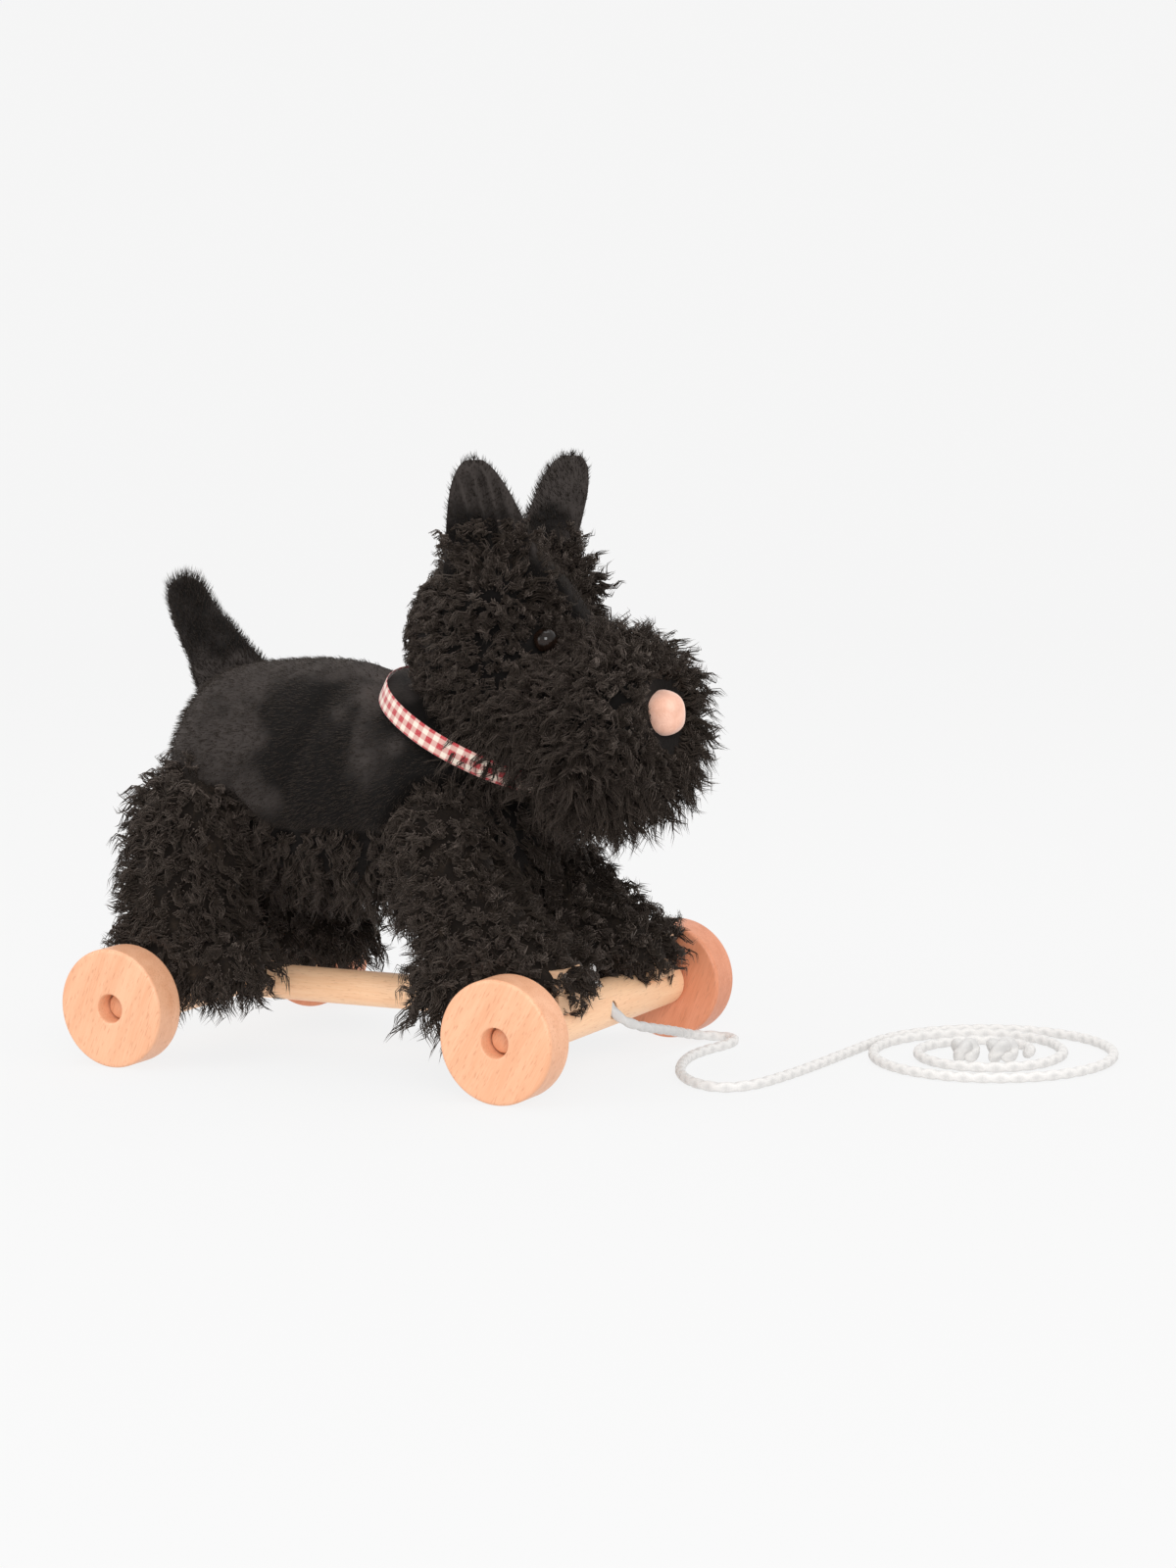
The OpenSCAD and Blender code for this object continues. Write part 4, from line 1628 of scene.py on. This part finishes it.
    def leg(self, name: str, form: Form, axle: float, hem: float, seed: int) -> None:
        """One leg: a padded core that stands on its bar under a skirt of curls.

        Args:
            name: Name of the leg.
            form: Its shape, on its own side.
            axle: Where its bar stands.
            hem: How much longer the curls get at the paw.
            seed: Seed of the random numbers.
        """
        skin = Skin.over(form, leg_inset, 60, 72, floor=34.0)
        self.core(f"{name}_plush", skin, self.curly_cloth, "curly_pile", (name,))

        def shown(p: Array, n: Array) -> Array:
            """Roots that aren't inside the body or head, or flat on the bar."""
            above_bar = (n[:, 2] < -0.8) & (np.abs(p[:, 0] - axle) < 9)
            return (TORSO.depth(p) > -13) & (HEAD.depth(p) > -6) & ~above_bar

        def fall(p: Array, n: Array) -> Array:
            """Down, and more so low on the leg, except at the toes.

            Args:
                p: Roots.
                n: Outward directions there.

            Returns:
                One direction per root.
            """
            toe = smooth_step(p[:, 0], 62, 80)[:, None]
            low = smooth_step(56 - p[:, 2], 0, 20)[:, None] * (1 - 0.95 * toe)
            return np.array([0.0, 0.0, -0.7]) - low * np.array([0.0, 0.0, 1.3])

        def skirt(p: Array) -> Array:
            """Longer near the bar, shorter at the toes."""
            toe = smooth_step(p[:, 0], 62, 80)
            return 0.84 + smooth_step(48 - p[:, 2], 0, 12) * (hem - (hem + 0.3) * toe)

        pile = Locks(length=12.5, lock_radius=3.1, thick=0.45)
        self.grow(f"{name}_locks", skin, pile, self.fibres_per_leg, shown, fall, skirt, seed)

    def legs(self) -> None:
        """All four legs."""
        rows = ((FRONT_LEG, "front", FRONT_X, 0.45), (REAR_LEG, "rear", REAR_X, 0.2))
        for i, (form, row, axle, hem) in enumerate(rows):
            for j, side in enumerate(Side):
                self.leg(f"{row}_{side.word}_leg", form.on(side), axle, hem, 40 + 2 * i + j)

    def half_face(self, side: Side, skin: Skin, number: int) -> None:
        """Long curls on one side of the muzzle and shorter ones on its cheek.

        Args:
            side: Which side.
            skin: The head's skin.
            number: 0 or 1, added to the seeds.
        """
        bare = 0.26 if side is Side.RIGHT else 0.55

        def own(p: Array) -> Array:
            """Seen curly roots on this side."""
            return (side.value * p[:, 1] > 0) & ~in_neck(p) & (forehead(p) < 0.5) & open_face(p)

        def on_muzzle(p: Array, n: Array) -> Array:
            """Those of the muzzle."""
            return own(p) & (muzzle(p) > 0.35)

        def on_cheek(p: Array, n: Array) -> Array:
            """Those of the skull and cheek."""
            return own(p) & (muzzle(p) <= 0.35)

        def muzzle_length(p: Array) -> Array:
            """Shorter near the nose, the eyes and the parting.

            Args:
                p: Roots.

            Returns:
                Shares of the pile's length.
            """
            near_nose = bare + (1.06 - bare) * smooth_step(from_nose(p), 11, 28)
            near_eyes = 0.55 + 0.45 * smooth_step(from_eyes(p), 8, 26)
            return near_nose * near_eyes * (0.3 + 0.7 * smooth_step(from_parting(p), 8, 24))

        def cheek_length(p: Array) -> Array:
            """Longest in the beard and at the crest, shortest on the nape and near the eyes."""
            tall = 0.38 + 0.57 * front(p) + 0.45 * crest(p) + 0.95 * beard(p)
            return tall * (0.6 + 0.4 * smooth_step(from_eyes(p), 8, 22))

        self.grow(f"muzzle_locks_{side.word}", skin, Locks(length=15.5, lean=0.6), 5200,
                  on_muzzle, splay, muzzle_length, 60 + number)
        pile = Locks(length=10.5, curl=2.1, lean=0.45, lock_radius=2.4)
        self.grow(f"cheek_locks_{side.word}", skin, pile, 4500, on_cheek, splay, cheek_length, 70 + number)

    def head(self) -> None:
        """Skull, forehead panel and muzzle."""
        skin = Skin.over(HEAD, head_inset, 104, 128).lumped(0.5, 40, 5)
        self.core("head_plush", skin, self.short_cloth, "short_pile",
                  ("head_cover", "head_gusset", "muzzle_cover", "head_stuffing"))
        for i, side in enumerate(Side):
            self.half_face(side, skin, i)

        def on_forehead(p: Array, n: Array) -> Array:
            """Seen roots of the forehead panel."""
            return (forehead(p) > 0.4) & ~in_neck(p)

        back = steady(-0.5, 0.0, 0.4)
        self.grow("forehead_nap", skin, Nap(length=2.6), 1600, on_forehead, back, full_length, 80)

    @staticmethod
    def ear_skin(side: Side) -> Skin:
        """A cupped ear: each ring is an ellipse bent forwards at its edges, with folds on the hollow side.

        Args:
            side: Which ear.

        Returns:
            Its skin.
        """
        ear = EARS[side]
        t = np.linspace(0, 1, 44)[:, None]
        a = circle(96)[None, :]
        wide = ear.half_width * (1 - ear.taper * t) * np.sqrt(np.clip(1 - t**7, 0, 1))
        wide = wide * smooth_step(t, -0.25, 0.04)
        thick = 4.2 * (1 - 0.25 * t) * np.sqrt(np.clip(1 - t**10, 0, 1)) * smooth_step(t, -0.2, 0.04)
        wide[0], thick[0] = 0.0, 0.0
        x = wide * np.cos(a) * np.where(np.cos(a) > 0, 1 - 0.14 * t, 1.0)
        hollow = np.clip(np.sin(a), 0, 1) * (2.9 - 1.4 * np.cos(2 * math.pi * x / 5.6 + 2 * t))
        y = thick * np.sin(a) + 5.5 * (1 - 0.4 * t) * (x / 19.0) ** 2 * 1.6
        y = y - hollow * smooth_step(t, 0.05, 0.3) * smooth_step(1 - t, 0.0, 0.2)
        z = 49.5 * t - 5.0 + 1.2 * np.sin(5 * a) * t + 0 * a
        lean, turn = math.radians(-9), math.radians(ear.turn)
        y, z = y * math.cos(lean) - z * math.sin(lean), y * math.sin(lean) + z * math.cos(lean)
        x, y = x * math.cos(turn) - y * math.sin(turn), x * math.sin(turn) + y * math.cos(turn)
        x, y = x + ear.tip[0] * t, y + ear.tip[1] * t**1.5
        grid = np.stack([ear.foot + x, side.value * (22 + y), 206 + z], axis=-1)
        return Skin(grid, grid.mean(axis=(0, 1)))

    def ear(self, side: Side, number: int) -> None:
        """One ear in short pile, with curls round its foot.

        Args:
            side: Which side.
            number: 0 or 1, added to the seeds.
        """
        skin, name = self.ear_skin(side), f"{side.word}_ear"
        upwards = steady(0.0, 0.0, 0.9)
        self.core(f"{name}_plush", skin, self.short_cloth, "short_pile", (name,))

        def off_head(p: Array, n: Array) -> Array:
            """Roots above the head."""
            return HEAD.depth(p) > -2

        def at_foot(p: Array, n: Array) -> Array:
            """Roots low on the ear, not on the side that faces the other ear."""
            low = p[:, 2] < 220 + 6 * waves(p, 7, 33)
            return (HEAD.depth(p) > -4) & low & (n[:, 1] * side.value > -0.75)

        self.grow(f"{name}_nap", skin, Nap(length=2.8), 2600, off_head, upwards, full_length, 90 + number)
        pile = Locks(length=8.0, curl=1.8, lock_radius=2.2)
        self.grow(f"{name}_brow_locks", skin, pile, 1100, at_foot, upwards, full_length, 97 + number)

    def tail(self) -> None:
        """The tail, in short pile that is longer at the tip."""
        skin = Skin.over(TAIL, 1.5, 60, 64).lumped(0.5, 18, 9)
        self.core("tail_plush", skin, self.short_cloth, "short_pile", ("tail",))

        def off_body(p: Array, n: Array) -> Array:
            """Roots outside the torso."""
            return TORSO.depth(p) > -3

        def tufted(p: Array) -> Array:
            """Longer at the tip."""
            return 0.9 + 0.5 * smooth_step(p[:, 2], 180, 200)

        self.grow("tail_nap", skin, Nap(length=3.0), 4200, off_body, steady(0.0, 0.0, 0.9), tufted, 95)

    def nose(self) -> None:
        """A felt nose: an upright bean with a fuzzy skin."""
        balls = (((114.5, 0, 150.5), (7.5, 9.4, 6.2)), ((115.5, 0, 144.5), (7.0, 7.8, 6.2)))
        skin = Skin.over(Form(balls, (115, 0, 147.5), blend=2.0), 0.8, 48, 64).lumped(0.25, 9, 2)
        f = Finish("nose_felt", Roughness=0.95, Sheen_Weight=0.6, Sheen_Roughness=0.5,
                   Sheen_Tint=(1.0, 0.85, 0.8), Specular_IOR_Level=0.1)
        blotch, fuzz = f.grain(160, 3), f.grain(1500)
        tone = (blotch * 1.2 + fuzz * 0.4 - 0.3).step(0.2, 0.8)
        f.feed(Base_Color=f.mix(tone, (0.72, 0.40, 0.29), (0.86, 0.54, 0.42)))
        f.bump(fuzz, 0.7, 0.3)
        self.core("nose_felt_ball", skin, f.material, "nose_felt", ("nose",))

    def eyes(self) -> None:
        """Glossy bead eyes, near-black with a little brown, and the washers inside the head."""
        bead = Finish("eye_bead", Roughness=0.05, Specular_IOR_Level=0.30)
        tone = bead.grain(300, 1).step(0.3, 0.8)
        bead.feed(Base_Color=bead.mix(tone, (0.006, 0.004, 0.003), (0.018, 0.009, 0.006)))
        for side in Side:
            at = side.place(EYE_AT)
            ball = Skin.over(Form(((at, (EYE_R,) * 3),), at), 0.0, 40, 56)
            eye = dress(put_mesh(f"{side.word}_eye_bead", *ball.mesh()), "eye_bead", bead.material)
            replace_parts(report(eye), f"{side.word}_eye")
        washer = Finish("washer_plastic", Roughness=0.5)
        washer.feed(Base_Color=washer.mix(washer.grain(500, 3), (0.4, 0.4, 0.4), (0.5, 0.5, 0.5)))
        dress(frame["nodes"]["eye_washers"], "", washer.material)

    def build(self) -> None:
        """Makes the whole dog."""
        self.torso()
        self.legs()
        self.head()
        for i, side in enumerate(Side):
            self.ear(side, i)
        self.tail()
        self.nose()
        self.eyes()


@dataclass(frozen=True)
class Ribbon:
    """The woven check ribbon round the neck: a flat band with softened edges, gently waved."""

    radius: float = 45.35
    half_width: float = 4.4
    half_thick: float = 0.28
    checks_round: float = 51.0
    check_height: float = 4.6
    steps_round: int = 240

    def grid(self) -> Array:
        """Rings of points: each is a flattened circle, and the band's plane is tilted forwards.

        Returns:
            Points, around by rim by 3.
        """
        a = circle(self.steps_round)[:, None]
        edge = np.radians(np.arange(0, 360, 30))[None, :]
        high = np.sign(np.sin(edge)) * np.abs(np.sin(edge)) ** 0.35 * self.half_width
        r = self.radius + self.half_thick * np.cos(edge)
        r = r + 0.12 * np.sin(7 * a) * np.abs(high) / self.half_width
        flat = np.stack([r * np.cos(a), r * np.sin(a), high + 0.25 * np.sin(3 * a)], axis=-1)
        x = flat[..., 0] * math.cos(COLLAR_TILT) + flat[..., 2] * math.sin(COLLAR_TILT)
        z = flat[..., 2] * math.cos(COLLAR_TILT) - flat[..., 0] * math.sin(COLLAR_TILT)
        return np.stack([COLLAR_AT[0] + x, flat[..., 1], COLLAR_AT[2] + z], axis=-1)

    def gingham(self) -> bpy.types.Material:
        """Red and white checks: half from sin(checks times the angle), half from cos along the height.

        Returns:
            The material.
        """
        f = Finish("gingham", Roughness=0.75, Sheen_Weight=0.3, Sheen_Roughness=0.5, Specular_IOR_Level=0.2)
        level = f.node("ShaderNodeMapping", {"vector_type": "TEXTURE"}, Vector=f.own_place(),
                       Location=tuple(COLLAR_AT * MM), Rotation=(0, COLLAR_TILT, 0))
        split = f.node("ShaderNodeSeparateXYZ", Vector=f.out(level, "Vector"))
        x, y, z = (f.out(split, axis) for axis in "XYZ")
        bars = x.maths("SINE", x.maths("ARCTAN2", y, x) * self.checks_round)
        rows = x.maths("COSINE", z * (2 * math.pi / (self.check_height * MM)))
        red = bars.step(-0.35, 0.15) * 0.5 + rows.step(-0.35, 0.15) * 0.5
        thread = f.grain(2200, 1)
        colour = f.mix(red, (0.76, 0.66, 0.56), (0.42, 0.028, 0.04))
        f.feed(Base_Color=f.mix(thread.step(0.35, 0.8) * 0.2, colour, (0.70, 0.50, 0.44)))
        return f.bump(thread, 0.4, 0.12).material

    def build(self) -> None:
        """Makes the ribbon."""
        grid = self.grid()
        faces = [ring_faces(*grid.shape[:2], wrap_rows=True)]
        piece = put_mesh("collar_ribbon_gingham", grid.reshape(-1, 3), faces)
        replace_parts(report(dress(piece, "gingham", self.gingham())), "collar_ribbon")


def main() -> None:
    """Builds camera, cord, trolley, dog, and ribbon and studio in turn."""
    logging.basicConfig(level=logging.INFO, format="%(name)s: %(message)s")
    studio = Studio()
    studio.camera()
    PullCord().build()
    Trolley().build()
    Plushwork().build()
    Ribbon().build()
    studio.build()


if __name__ == "__main__":
    main()
